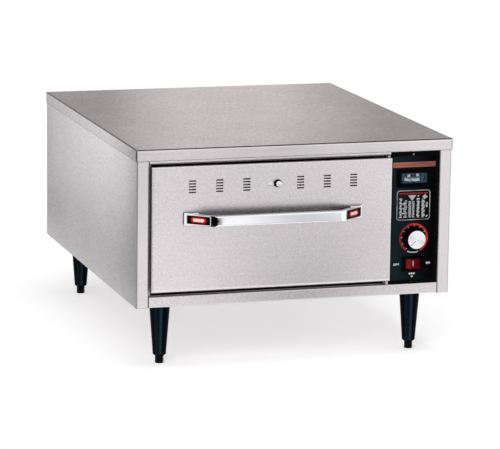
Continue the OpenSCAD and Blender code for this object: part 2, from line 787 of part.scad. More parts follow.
module terminal_block() color(black) from_front() translate([panel_x - 5, terminal_y, z_low + sheet + fit])
    difference() {
        block([-2 * terminal_pitch, -10, 0], [2 * terminal_pitch, 10, 16.5]);
        for (k = [-1.5, -0.5, 0.5, 1.5]) translate([k * terminal_pitch, 0, 8]) cylinder(d = 5, h = 20);
    }

// Moulded inlet that a cord passes through, its flange outside the back panel
module cord_inlet() color(black) from_front() translate([inlet_x, 0, inlet_z]) difference() {
    union() {
        bar_y(inlet_dia - 0.4, back_inner - 6, case_back + 0.1);
        bar_y(inlet_dia + 7, case_back + 0.1, case_back + 3);
        bar_y(inlet_dia - 3, case_back + 3, case_d + inlet_reach);
        bar_y(inlet_dia + 3, back_inner - 6, back_inner - 3);
    }
    bar_y(9, back_inner - 8, case_d + inlet_reach + 1);
}

// ------------------------------------------------------------ roller slides

case_roller_z = channel_z + channel_t + 0.3 + case_roller_dia / 2;
drawer_roller_z = channel_z + channel_h / 2;
roller_off = 2.6;

// Left-hand channel with its pin, the cavity wall at x = 0
module channel_shape() {
    along_y(liner_front + 6, liner_front + 6 + slide_len) folded([
        [channel_w, channel_z + channel_h - channel_t / 2],
        [channel_t / 2, channel_z + channel_h - channel_t / 2],
        [channel_t / 2, channel_z + channel_t / 2],
        [channel_w, channel_z + channel_t / 2]
    ], channel_t, 1.5);
    translate([0, case_roller_y, case_roller_z]) bar_x(roller_pin_dia, 0.2, roller_off + roller_w + 1.4);
    translate([0, case_roller_y, case_roller_z])
        bar_x(roller_pin_dia + 3, roller_off + roller_w + 0.4, roller_off + roller_w + 1.4);
}

module case_slides() color(plain_steel) from_front() {
    translate([cavity_left, 0, 0]) channel_shape();
    translate([cavity_right, 0, 0]) mirror([1, 0, 0]) channel_shape();
}

module roller(dia) difference() {
    bar_x(dia, roller_off, roller_off + roller_w);
    bar_x(roller_pin_dia + 2 * running, 0, roller_off + roller_w + 1);
    for (a = [0 : 60 : 300]) rotate([a, 0, 0])
        translate([0, 0, (dia + roller_pin_dia) / 4]) bar_x(dia / 10, 0, roller_off + roller_w + 1);
}

module case_roller() translate([0, case_roller_y, case_roller_z]) roller(case_roller_dia);

module drawer_roller() translate([0, drawer_roller_y, drawer_roller_z]) roller(drawer_roller_dia);

module case_roller_left() color("white") from_front() translate([cavity_left, 0, 0]) case_roller();

module case_roller_right() color("white") from_front()
    translate([cavity_right, 0, 0]) mirror([1, 0, 0]) case_roller();

module drawer_roller_left() color("white") from_front() translate([cavity_left, 0, 0]) drawer_roller();

module drawer_roller_right() color("white") from_front()
    translate([cavity_right, 0, 0]) mirror([1, 0, 0]) drawer_roller();

// Left-hand drawer rail: an angle that runs on the case roller, with a pin at its back
module rail_shape() {
    web = rail_web_x + rail_t / 2;
    along_y(front_back + 0.3, drawer_roller_y - drawer_roller_dia / 2 - 3) folded([
        [2.6, rail_z + rail_t / 2], [web, rail_z + rail_t / 2], [web, channel_z + channel_h + 12]
    ], rail_t, 1.5);
    block([rail_web_x, drawer_roller_y - drawer_roller_dia / 2 - 4, channel_z + 2],
        [rail_web_x + rail_t, drawer_roller_y + 9, channel_z + channel_h + 12]);
    translate([0, drawer_roller_y, drawer_roller_z]) {
        bar_x(roller_pin_dia, roller_off - 0.9, rail_web_x + 0.1);
        bar_x(roller_pin_dia + 3, roller_off + roller_w + 0.3, rail_web_x + 0.1);
    }
}

module drawer_slides() color(plain_steel) from_front() {
    translate([cavity_left, 0, 0]) rail_shape();
    translate([cavity_right, 0, 0]) mirror([1, 0, 0]) rail_shape();
}

// ------------------------------------------------------------- drawer front

// The vent slots as a drawing of (x, z)
module vent_drawing() translate([front_x, vent_z])
    for (side = [-1, 1], g = [1 : vent_groups], k = [0 : vent_slots - 1])
        translate([side * g * vent_pitch, (k - (vent_slots - 1) / 2) * vent_step])
            square([vent_len, vent_slot_h], center = true);

knob_rest_x = vent_travel / 2;

module knob_slot_drawing() translate([front_x, vent_z])
    slot(vent_travel + knob_slot_h, knob_slot_h);

module front_block(inset, r_top, r_low) intersection() {
    low = [front_face + inset, front_low + inset];
    high = [front_back + (inset > 0 ? 1 : 0), front_top - inset];
    along_x(front_left + inset, front_right - inset) round_rect(low, high, [r_low, 0, 0, r_top]);
    along_z(front_low, front_top)
        round_rect([front_left + inset, low[0]], [front_right - inset, high[0]], [r_top, r_top, 0, 0]);
}

// Studs of the vent slide, midway between groups when the slide is half way along
stud_places = [for (side = [-1, 1], k = [1.5, 2.5]) side * k * vent_pitch - vent_travel / 2];

module drawer_front_skin() color(steel) from_front() difference() {
    front_block(0, 2, front_round);
    front_block(skin_t, 1, front_round - skin_t);
    along_y(front_face - 1, front_face + 3) {
        vent_drawing();
        knob_slot_drawing();
    }
    for (side = [-1, 1]) translate([front_x + side * screw_x, 0, handle_z])
        bar_y(5.4, front_face - 1, front_face + 3);
}

// Sheet that closes the back of the drawer front, nested in its edges
module drawer_front_back() color(plain_steel) from_front() difference() {
    block([front_left + skin_t + fit, front_back - side_t, front_low + skin_t + fit],
        [front_right - skin_t - fit, front_back, front_top - skin_t - fit]);
    along_y(front_back - 4, front_back + 2) vent_drawing();
    for (side = [-1, 1]) translate([front_x + side * screw_x, 0, handle_z])
        bar_y(5.4, front_back - 4, front_back + 2);
}

module front_insulation() color(fibre) from_front() difference() {
    block([front_left + skin_t + 1.3, front_face + skin_t + 0.3, front_low + front_round + 1],
        [front_right - skin_t - 1.3, front_back - side_t - 0.3, vent_z - vent_group_h / 2 - 10]);
    for (side = [-1, 1]) translate([front_x + side * screw_x, 0, handle_z])
        bar_y(11, front_face, front_back);
}

slide_y = front_face + skin_t + 0.3;
slide_t = 1;

module vent_slide() color(plain_steel) from_front() along_y(slide_y, slide_y + slide_t) difference() {
    half = vent_groups * vent_pitch + vent_len / 2 + vent_travel / 2;
    translate([front_x - half - 4, vent_z - vent_group_h / 2 - 4])
        square([2 * half + 8, vent_group_h + 8]);
    vent_drawing();
    for (x = stud_places) translate([front_x + x + vent_travel / 2, vent_z])
        slot(vent_travel + 4.6, 3.6);
    translate([front_x + knob_rest_x, vent_z]) circle(d = 4);
}

// Knob with its stem through the slide, at the open end of its slot
module vent_knob() color(black) from_front() translate([front_x + knob_rest_x, 0, vent_z]) {
    translate([0, front_face - vent_knob_reach, 0]) rotate([-90, 0, 0])
        cylinder(d1 = vent_knob_face, d2 = vent_knob_dia, h = vent_knob_reach - 0.4);
    bar_y(knob_slot_h - 0.6, front_face - 0.5, slide_y);
    bar_y(4, slide_y, slide_y + slide_t);
    bar_y(7, slide_y + slide_t, slide_y + slide_t + 1);
}

// Headed studs on the back of the skin that carry the slide
module slide_studs() color(plain_steel) from_front()
    for (x = stud_places) translate([front_x + x, 0, vent_z]) {
        bar_y(3, front_face + skin_t, slide_y + slide_t + 0.3);
        bar_y(6.5, slide_y + slide_t + 0.3, slide_y + slide_t + 1.3);
    }

// ------------------------------------------------------------------- handle

screw_x = (handle_w - pad_w) / 2;
handle_corner = 12;
base_foot = 4;

// Outline of the handle from above, with the drawer front's face at y = 0 and the
// grip at y = -handle_reach; the arcs round the four bends
function arc(c, r, a0, a1, n = 10) =
    [for (i = [0 : n]) let (a = a0 + (a1 - a0) * i / n) c + r * [cos(a), sin(a)]];

slope_run = (handle_w - grip_w) / 2 - 5;
slope_angle = atan2(handle_reach - base_foot, slope_run);

module handle_outline() {
    half = handle_w / 2;
    hip = half - slope_run;
    // tangent length of a bend of radius handle_corner
    tangent = handle_corner * tan(slope_angle / 2);
    bend_x = hip - tangent;
    inner_r = handle_corner - grip_t;
    right_outer = arc([bend_x, -handle_reach + handle_corner], handle_corner, -90 + slope_angle, -90);
    left_outer = [for (i = [len(right_outer) - 1 : -1 : 0]) [-right_outer[i][0], right_outer[i][1]]];
    right_inner = arc([bend_x, -handle_reach + handle_corner], inner_r, -90, -90 + slope_angle);
    left_inner = [for (i = [len(right_inner) - 1 : -1 : 0]) [-right_inner[i][0], right_inner[i][1]]];
    // the slope's inner face ends at the inner side of the pad
    inner_end = right_inner[len(right_inner) - 1];
    pad_x = half - pad_w;
    pad_y = inner_end[1] + (pad_x - inner_end[0]) * tan(slope_angle);
    polygon(concat(
        [[half - 1.5, 0], [half, -1.5], [half, -base_foot]],
        right_outer, left_outer,
        [[-half, -base_foot], [-half, -1.5], [-half + 1.5, 0]],
        [[-pad_x, 0], [-pad_x, pad_y]], left_inner, right_inner, [[pad_x, pad_y], [pad_x, 0]]
    ));
}

plate_t = 1.2;
plate_fit = 0.2;
// the plates sit a little outward of the middle of the slopes
plate_shift = (handle_w - grip_w) / 2 * 0.054;

// Stands on each sloping face of the handle, its middle at the origin, +y into the handle
module on_slopes() for (side = [0, 1]) mirror([side, 0, 0])
    translate([(handle_w - slope_run) / 2, -(handle_reach + base_foot) / 2, 0])
        rotate([0, 0, slope_angle]) translate([plate_shift, 0, 0]) children();

module handle() color(chrome) from_front() translate([front_x, front_face, handle_z]) difference() {
    intersection() {
        translate([0, 0, -base_h / 2]) linear_extrude(base_h) handle_outline();
        along_x(-handle_w / 2, handle_w / 2) union() {
            translate([-handle_reach, -grip_h / 2])
                round_rect([0, 0], [handle_reach, grip_h], [3, 0, 0, 3]);
            translate([-12, -base_h / 2]) round_rect([0, 0], [12, base_h], [3, 0, 0, 3]);
        }
    }
    on_slopes() block([-plate_w / 2 - plate_fit, -5, -plate_h / 2 - plate_fit],
        [plate_w / 2 + plate_fit, plate_t, plate_h / 2 + plate_fit]);
    for (side = [-1, 1]) translate([side * screw_x, 0, 0]) bar_y(4.8, -7.5, 1);
}

module handle_plates() color(black) from_front() translate([front_x, front_face, handle_z])
    on_slopes() block([-plate_w / 2, plate_fit, -plate_h / 2], [plate_w / 2, plate_t, plate_h / 2]);

module handle_screws() color(chrome) from_front()
    for (side = [-1, 1]) translate([front_x + side * screw_x, front_back, handle_z])
        mirror([0, 1, 0]) screw_y(4.6, front_back - front_face + 7, 9, 0.9);

// ----------------------------------------------------------- drawer carrier

// Left-hand side of the carrier, its outer face at x = 0: a web with the pan's ledge
module carrier_side() {
    along_y(front_back + 0.3, frame_d) folded([
        [side_t / 2, frame_low], [side_t / 2, ledge_z - side_t / 2],
        [side_t + ledge_w, ledge_z - side_t / 2]
    ], side_t, 1.6);
    along_y(front_back + 0.3, front_back + 0.3 + side_t)
        translate([0, frame_low]) square([bar_w, ledge_z - frame_low - side_t / 2]);
}

module drawer_side_left() color(plain_steel) from_front() translate([side_left, 0, 0]) carrier_side();

module drawer_side_right() color(plain_steel) from_front()
    translate([side_right, 0, 0]) mirror([1, 0, 0]) carrier_side();

module drawer_cross_bars() color(plain_steel) from_front() {
    x0 = side_left + side_t + ledge_w + 0.2;
    x1 = side_right - side_t - ledge_w - 0.2;
    for (y = [pan_front - pan_rim - 4.6, frame_d - bar_w])
        along_x(x0, x1) folded([
            [y, ledge_z - bar_w], [y, ledge_z - side_t / 2],
            [y + bar_w - 1.5, ledge_z - side_t / 2]
        ], side_t, 1.6);
}

// Pan body, tapered and with rounded floor edges; inset moves every wall inwards
module pan_body(inset, top) {
    taper = 8;
    floor_r = 14;
    low = pan_top - pan_h + inset;
    w = pan_w / 2 - inset;
    d = pan_d / 2 - inset;
    r = floor_r - inset;
    intersection() {
        along_y(-d, d) pan_section(w, low, top, taper, r);
        along_x(-w, w) pan_section(d, low, top, taper, r);
        along_z(low - 1, top + 1)
            round_rect([-w, -d], [w, d], [1, 1, 1, 1] * (pan_corner - inset));
    }
}

// Half width w at the top, narrower by taper at the floor, floor corners of radius r
module pan_section(w, low, top, taper, r) {
    polygon([[-w + taper, low + r], [w - taper, low + r], [w, top], [-w, top]]);
    translate([-w + taper + r, low]) square([2 * (w - taper - r), r + 1]);
    for (side = [-1, 1]) translate([side * (w - taper - r), low + r]) circle(r);
}

module food_pan() color(steel) from_front() translate([cavity_x, pan_y, 0]) difference() {
    union() {
        pan_body(0, pan_top);
        along_z(pan_top - pan_t, pan_top) round_rect(
            [-pan_w / 2 - pan_rim, -pan_d / 2 - pan_rim], [pan_w / 2 + pan_rim, pan_d / 2 + pan_rim],
            [1, 1, 1, 1] * (pan_corner + pan_rim) * 0.4);
    }
    pan_body(pan_t, pan_top + 1);
}

// --------------------------------------------------------------------- legs

module leg() difference() {
    union() {
        translate([0, 0, foot_h]) cylinder(d1 = foot_af + 2, d2 = leg_low_dia, h = leg_shoulder);
        translate([0, 0, foot_h + leg_shoulder])
            cylinder(d1 = leg_low_dia, d2 = leg_top_dia, h = leg_h - leg_shoulder);
    }
    translate([0, 0, foot_h - 1]) cylinder(d = shank_dia + 2 * running, h = 46);
    translate([0, 0, stand_h - 24]) cylinder(d = stud_dia, h = 30);
}

module leg_set() color(black) from_front()
    for (p = LEG_PLACES) translate([p[0], p[1], 0]) leg();

// Stud of each leg with the nut that holds it inside the case
module leg_studs() color(plain_steel) from_front()
    for (p = LEG_PLACES) translate([p[0], p[1], 0]) {
        translate([0, 0, stand_h - 23.7]) cylinder(d = stud_dia - 0.1, h = 34);
        translate([0, 0, z_low + sheet]) cylinder(d = 18, h = 7, $fn = 6);
    }

module foot(place) color(black) from_front() translate([place[0], place[1], 0]) {
    cylinder(d = foot_af / cos(30), h = foot_h - 0.3, $fn = 6);
    translate([0, 0, foot_h - 0.5]) cylinder(d = shank_dia, h = 42);
}

module foot_front_left() foot(LEG_PLACES[0]);

module foot_front_right() foot(LEG_PLACES[1]);

module foot_rear_left() foot(LEG_PLACES[2]);

module foot_rear_right() foot(LEG_PLACES[3]);

top_cover();
left_side_panel();
right_side_panel();
back_panel();
bottom_panel();
front_header();
control_divider();
cavity_liner();
insulation_left();
insulation_right();
insulation_top();
insulation_bottom();
insulation_back();
control_panel();
panel_film();
panel_brackets();
panel_screws();
back_screws();
thermometer_case();
thermometer_bezel();
thermometer_dial();
thermometer_lens();
thermometer_needle();
thermostat_body();
thermostat_bulb();
thermostat_shaft();
thermostat_knob();
knob_cap();
switch_housing();
switch_rocker();
terminal_block();
cord_inlet();
heating_element();
element_brackets();
case_slides();
case_roller_left();
case_roller_right();
drawer_slides();
drawer_roller_left();
drawer_roller_right();
drawer_front_skin();
drawer_front_back();
front_insulation();
drawer_side_left();
drawer_side_right();
drawer_cross_bars();
food_pan();
vent_slide();
vent_knob();
slide_studs();
handle();
handle_plates();
handle_screws();
leg_set();
leg_studs();
foot_front_left();
foot_front_right();
foot_rear_left();
foot_rear_right();
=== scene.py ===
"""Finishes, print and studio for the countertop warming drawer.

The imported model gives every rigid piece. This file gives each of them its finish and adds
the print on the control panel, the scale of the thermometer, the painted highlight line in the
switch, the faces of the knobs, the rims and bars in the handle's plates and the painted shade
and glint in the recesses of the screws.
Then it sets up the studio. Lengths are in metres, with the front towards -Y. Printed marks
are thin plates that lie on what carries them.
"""

import json
import math

import bmesh
import bpy
import numpy as np
from bpy.props import FloatProperty, FloatVectorProperty, IntProperty, PointerProperty
from mathutils import Euler, Matrix, Vector


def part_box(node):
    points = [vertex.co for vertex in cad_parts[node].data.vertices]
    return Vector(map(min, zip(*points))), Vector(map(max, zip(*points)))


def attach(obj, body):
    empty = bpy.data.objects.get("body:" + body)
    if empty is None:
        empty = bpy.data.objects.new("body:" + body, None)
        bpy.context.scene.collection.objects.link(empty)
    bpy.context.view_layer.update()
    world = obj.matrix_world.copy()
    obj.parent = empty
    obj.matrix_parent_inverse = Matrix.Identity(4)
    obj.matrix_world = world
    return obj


bl_info = {
    "name": "Warming Drawer",
    "version": (1, 0, 0),
    "blender": (4, 5, 0),
    "location": "View3D > Sidebar > Warming Drawer",
    "description": "Finishes, print and studio for a countertop warming drawer",
    "category": "Object",
}

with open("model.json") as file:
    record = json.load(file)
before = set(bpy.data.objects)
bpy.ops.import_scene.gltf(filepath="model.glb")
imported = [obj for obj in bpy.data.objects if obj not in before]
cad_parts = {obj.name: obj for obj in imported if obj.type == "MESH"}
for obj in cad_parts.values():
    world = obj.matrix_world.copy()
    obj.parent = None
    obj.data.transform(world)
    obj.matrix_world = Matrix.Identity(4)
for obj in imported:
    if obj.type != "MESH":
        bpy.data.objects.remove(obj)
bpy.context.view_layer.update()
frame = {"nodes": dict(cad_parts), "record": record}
MM = 0.001


# ------------------------------------------------------------------ settings


def colour_setting(name, description, default):
    return FloatVectorProperty(
        name=name, description=description, default=default,
        subtype="COLOR", size=3, min=0.0, max=1.0,
    )


def length_setting(name, description, default, low=0.0, high=1.0):
    return FloatProperty(
        name=name, description=description, default=default,
        min=low, max=high, unit="LENGTH", subtype="DISTANCE", precision=5,
    )


def factor_setting(name, description, default, high=1.0):
    return FloatProperty(
        name=name, description=description, default=default, min=0.0, max=high, subtype="FACTOR",
    )


def power_setting(name, description, default):
    return FloatProperty(name=name, description=description, default=default, min=0.0, unit="POWER")


def angle_setting(name, description, default):
    return FloatProperty(
        name=name, description=description, default=math.radians(default),
        subtype="ANGLE", unit="ROTATION",
    )


class WarmerSteel(bpy.types.PropertyGroup):
    case_colour: colour_setting("Case", "Colour of the brushed sheet", (0.700, 0.658, 0.673))
    plain_colour: colour_setting("Plain sheet", "Colour of the inner sheet", (0.50, 0.50, 0.51))
    roughness: factor_setting("Roughness", "Roughness of the brushed sheet", 0.25)
    stretch: factor_setting("Brushing", "How far the brushing draws a highlight out", 0.45)
    grain: length_setting("Grain", "Width of the coarser brush lines", 0.0030, 0.0002, 0.02)


class WarmerPrint(bpy.types.PropertyGroup):
    ink: length_setting("Ink", "Thickness of the printed marks", 0.00008, 0.00001, 0.001)
    band_colour: colour_setting("Band", "Colour of the plain band", (0.36, 0.115, 0.085))
    red: colour_setting("Red", "Colour of the ring and the heading", (0.84, 0.034, 0.014))
    white: colour_setting("White", "Colour of the white marks", (0.84, 0.84, 0.84))
    ring_diameter: length_setting("Ring", "Diameter of the ring round the knob", 0.0538, 0.04, 0.08)
    ring_width: length_setting("Ring width", "Width of the ring's line", 0.0033, 0.001, 0.01)
    ring_gap: angle_setting("Ring gap", "Opening of the ring below the knob", 60.0)
    ticks: IntProperty(name="Ticks", description="Ticks inside the ring", default=11, min=2, max=40)


class WarmerStudio(bpy.types.PropertyGroup):
    key_power: power_setting("Key", "Power of the large front light", 48.0)
    fill_power: power_setting("Fill", "Power of the side light", 10.0)
    top_power: power_setting("Top", "Power of the overhead light", 26.0)
    ambient: factor_setting("Ambient", "Light of the surroundings", 0.45, 2.0)
    glow: factor_setting("Floor glow", "What the seen floor adds to its lit tone", 0.42)
    yaw: angle_setting("Yaw", "Heading of the camera", -17.118)
    pitch: angle_setting("Pitch", "Drop of the camera's aim", 11.193)
    roll: angle_setting("Roll", "Roll of the camera", 0.765)
    lens: FloatProperty(
        name="Lens", description="Focal length", default=210.68, min=1.0, unit="CAMERA")


SETTINGS = {
    "warmer_steel": WarmerSteel,
    "warmer_print": WarmerPrint,
    "warmer_studio": WarmerStudio,
}


# ------------------------------------------------------------------- surfaces


def make_object(name, verts, faces, material, body, slot, smooth=False):
    """Puts vertices and faces into a closed mesh at the origin, its faces turned outwards,
    and lets it ride on a body."""
    mesh = bpy.data.meshes.new(name)
    mesh.from_pydata(np.asarray(verts, float).tolist(), [], [list(face) for face in faces])
    work = bmesh.new()
    work.from_mesh(mesh)
    bmesh.ops.recalc_face_normals(work, faces=work.faces)
    work.to_mesh(mesh)
    work.free()
    if smooth:
        mesh.shade_smooth()
    mesh.materials.append(material)
    piece = bpy.data.objects.new(name, mesh)
    bpy.context.scene.collection.objects.link(piece)
    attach(piece, body)
    return piece


def plates(centres, sizes, turns, back, ink):
    """Flat plates in XZ: each corner is centre + turn(+-width/2, +-height/2), once at the back
    plane and once an ink thickness in front of it."""
    centres, sizes = np.asarray(centres, float), np.asarray(sizes, float)
    turns = np.broadcast_to(np.asarray(turns, float), (len(centres),))
    corner = np.array([[-1, -1], [1, -1], [1, 1], [-1, 1]]) / 2
    flat = corner[None] * sizes[:, None]
    c, s = np.cos(turns)[:, None], np.sin(turns)[:, None]
    x = centres[:, None, 0] + flat[..., 0] * c - flat[..., 1] * s
    z = centres[:, None, 1] + flat[..., 0] * s + flat[..., 1] * c
    y = np.full_like(x, back)
    verts = np.concatenate([np.stack([x, y, z], -1), np.stack([x, y - ink, z], -1)], 1)
    box = np.array([
        [0, 3, 2, 1], [4, 5, 6, 7], [0, 1, 5, 4], [1, 2, 6, 5], [2, 3, 7, 6], [3, 0, 4, 7]])
    faces = (box[None] + 8 * np.arange(len(centres))[:, None, None]).reshape(-1, 4)
    return verts.reshape(-1, 3), faces


def marks(rows, centre, back, ink, turns=0.0):
    """Flat plates from rows of x, z, width and height, in mm about a centre."""
    rows = np.asarray(rows, float)
    return plates(rows[:, :2] * MM + centre, rows[:, 2:4] * MM, turns, back, ink)


def radial(count, start, end, radius, size, centre, back, ink):
    """Plates of one size in mm, spaced evenly from one angle to the other in degrees, each at
    centre + radius * (cos a, sin a) and turned by its angle."""
    angle = np.radians(np.linspace(start, end, count))
    places = np.stack([np.cos(angle), np.sin(angle)], 1) * radius + np.asarray(centre)
    return plates(places, np.full((count, 2), size) * MM, angle, back, ink)


def band(path, width, back, ink, closed=False):
    """A flat band along a path in XZ: at each point the four corners of its section are
    point +- normal * width/2, at the back plane and an ink thickness in front of it."""
    path = np.asarray(path, float)
    if closed:
        ahead, behind = np.roll(path, -1, 0), np.roll(path, 1, 0)
    else:
        ahead = np.vstack([path[1:], path[-1:]])
        behind = np.vstack([path[:1], path[:-1]])
    along = ahead - behind
    along /= np.linalg.norm(along, axis=1, keepdims=True)
    normal = np.stack([-along[:, 1], along[:, 0]], 1)
    left, right = path + normal * width / 2, path - normal * width / 2
    n = len(path)
    y0, y1 = np.full(n, back), np.full(n, back - ink)
    ring = np.stack([
        np.stack([left[:, 0], y0, left[:, 1]], 1), np.stack([right[:, 0], y0, right[:, 1]], 1),
        np.stack([right[:, 0], y1, right[:, 1]], 1), np.stack([left[:, 0], y1, left[:, 1]], 1),
    ], 1).reshape(-1, 3)
    i = np.arange(n if closed else n - 1)[:, None]
    j = (i + 1) % n
    k = np.arange(4)[None]
    m = (k + 1) % 4
    faces = np.stack([4 * i + k, 4 * i + m, 4 * j + m, 4 * j + k], -1).reshape(-1, 4)
    if not closed:
        ends = np.array([[3, 2, 1, 0], [4 * n - 4, 4 * n - 3, 4 * n - 2, 4 * n - 1]])
        faces = np.vstack([faces, ends])
    return ring, faces


def pillow(outline, origin, across, up, out, crown, rows=5):
    """A low domed boss over a closed outline: ring k of rows is the outline shrunk about its
    middle to cos(t), raised by crown * sin(t), with t from 0 to 90 degrees, and the back is
    a shallow fan. Origin, across, up and out place it."""
    t = np.linspace(0, np.pi / 2, rows, endpoint=False)
    middle = outline.mean(0)
    flat = middle + (outline - middle)[None] * np.cos(t)[:, None, None]
    height = np.broadcast_to((crown * np.sin(t))[:, None], flat.shape[:2])
    verts = origin + flat[..., :1] * across + flat[..., 1:] * up + height[..., None] * out
    n = len(outline)
    top = origin + middle[0] * across + middle[1] * up + crown * out
    base = origin + middle[0] * across + middle[1] * up - 0.2 * crown * out
    verts = np.vstack([verts.reshape(-1, 3), top, base])
    i = np.arange(n)[None]
    j = (i + 1) % n
    k = np.arange(rows - 1)[:, None] * n
    walls = np.stack([k + i, k + j, k + n + j, k + n + i], -1).reshape(-1, 4)
    i, j = i[0], j[0]
    last = (rows - 1) * n
    cap = np.stack([last + i, last + j, np.full(n, rows * n)], -1)
    floor = np.stack([j, i, np.full(n, rows * n + 1)], -1)
    return verts, [*walls, *cap, *floor]


def rim_tube(path, radius, sides=10):
    """A tube along a closed flat path: point + radius * (normal * cos t + out * sin t), as
    columns along the path's own two axes and outwards."""
    along = np.roll(path, -1, 0) - np.roll(path, 1, 0)
    along /= np.linalg.norm(along, axis=1, keepdims=True)
    normal = np.stack([along[:, 1], -along[:, 0]], 1)
    t = np.arange(sides) * 2 * np.pi / sides
    flat = path[:, None] + radius * normal[:, None] * np.cos(t)[None, :, None]
    rise = np.broadcast_to(radius * np.sin(t), flat.shape[:2])
    verts = np.concatenate([flat, rise[..., None]], -1).reshape(-1, 3)
    i, k = np.meshgrid(np.arange(len(path)), np.arange(sides), indexing="ij")
    j, m = (i + 1) % len(path), (k + 1) % sides
    faces = np.stack([i * sides + k, j * sides + k, j * sides + m, i * sides + m], -1)
    return verts, faces.reshape(-1, 4)


def round_path(width, height, radius, centre=(0, 0), steps=8):
    """Closed rectangle with round corners: the centre of each corner's arc plus
    radius * (cos a, sin a)."""
    corner = np.array([[1, 1], [-1, 1], [-1, -1], [1, -1]])
    mid = corner * (np.array([width, height]) / 2 - radius)
    a = np.linspace(0, np.pi / 2, steps)[None] + np.arange(4)[:, None] * np.pi / 2
    arc = np.stack([np.cos(a), np.sin(a)], -1) * radius
    return (mid[:, None] + arc).reshape(-1, 2) + np.asarray(centre)


def arc_path(radius, start, end, centre, steps=72):
    """Arc in XZ: centre + radius * (cos a, sin a) from one angle to the other, in degrees."""
    a = np.radians(np.linspace(start, end, steps))
    return np.stack([np.cos(a), np.sin(a)], -1) * radius + np.asarray(centre)


def joined(*parts):
    """Several (vertices, faces) pairs as one."""
    verts, faces, count = [], [], 0
    for v, f in parts:
        verts.append(v)
        faces.append(np.asarray(f) + count)
        count += len(v)
    return np.vstack(verts), np.vstack(faces)


def middle_of(node):
    low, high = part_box(node)
    return (low + high) / 2


# ------------------------------------------------------------------- finishes


def shades(colour, low, high):
    """A darker and a lighter tone of a colour."""
    return tuple(c * low for c in colour), tuple(min(1.0, c * high) for c in colour)


def add_node(tree, kind, values=(), **settings):
    """A new shader node: its settings, then its inputs, each set to a value or linked to an
    output."""
    node = tree.nodes.new("ShaderNode" + kind)
    for name, value in settings.items():
        setattr(node, name, value)
    for socket, value in dict(values).items():
        if isinstance(value, bpy.types.NodeSocket):
            tree.links.new(value, node.inputs[socket])
        else:
            node.inputs[socket].default_value = value
    return node


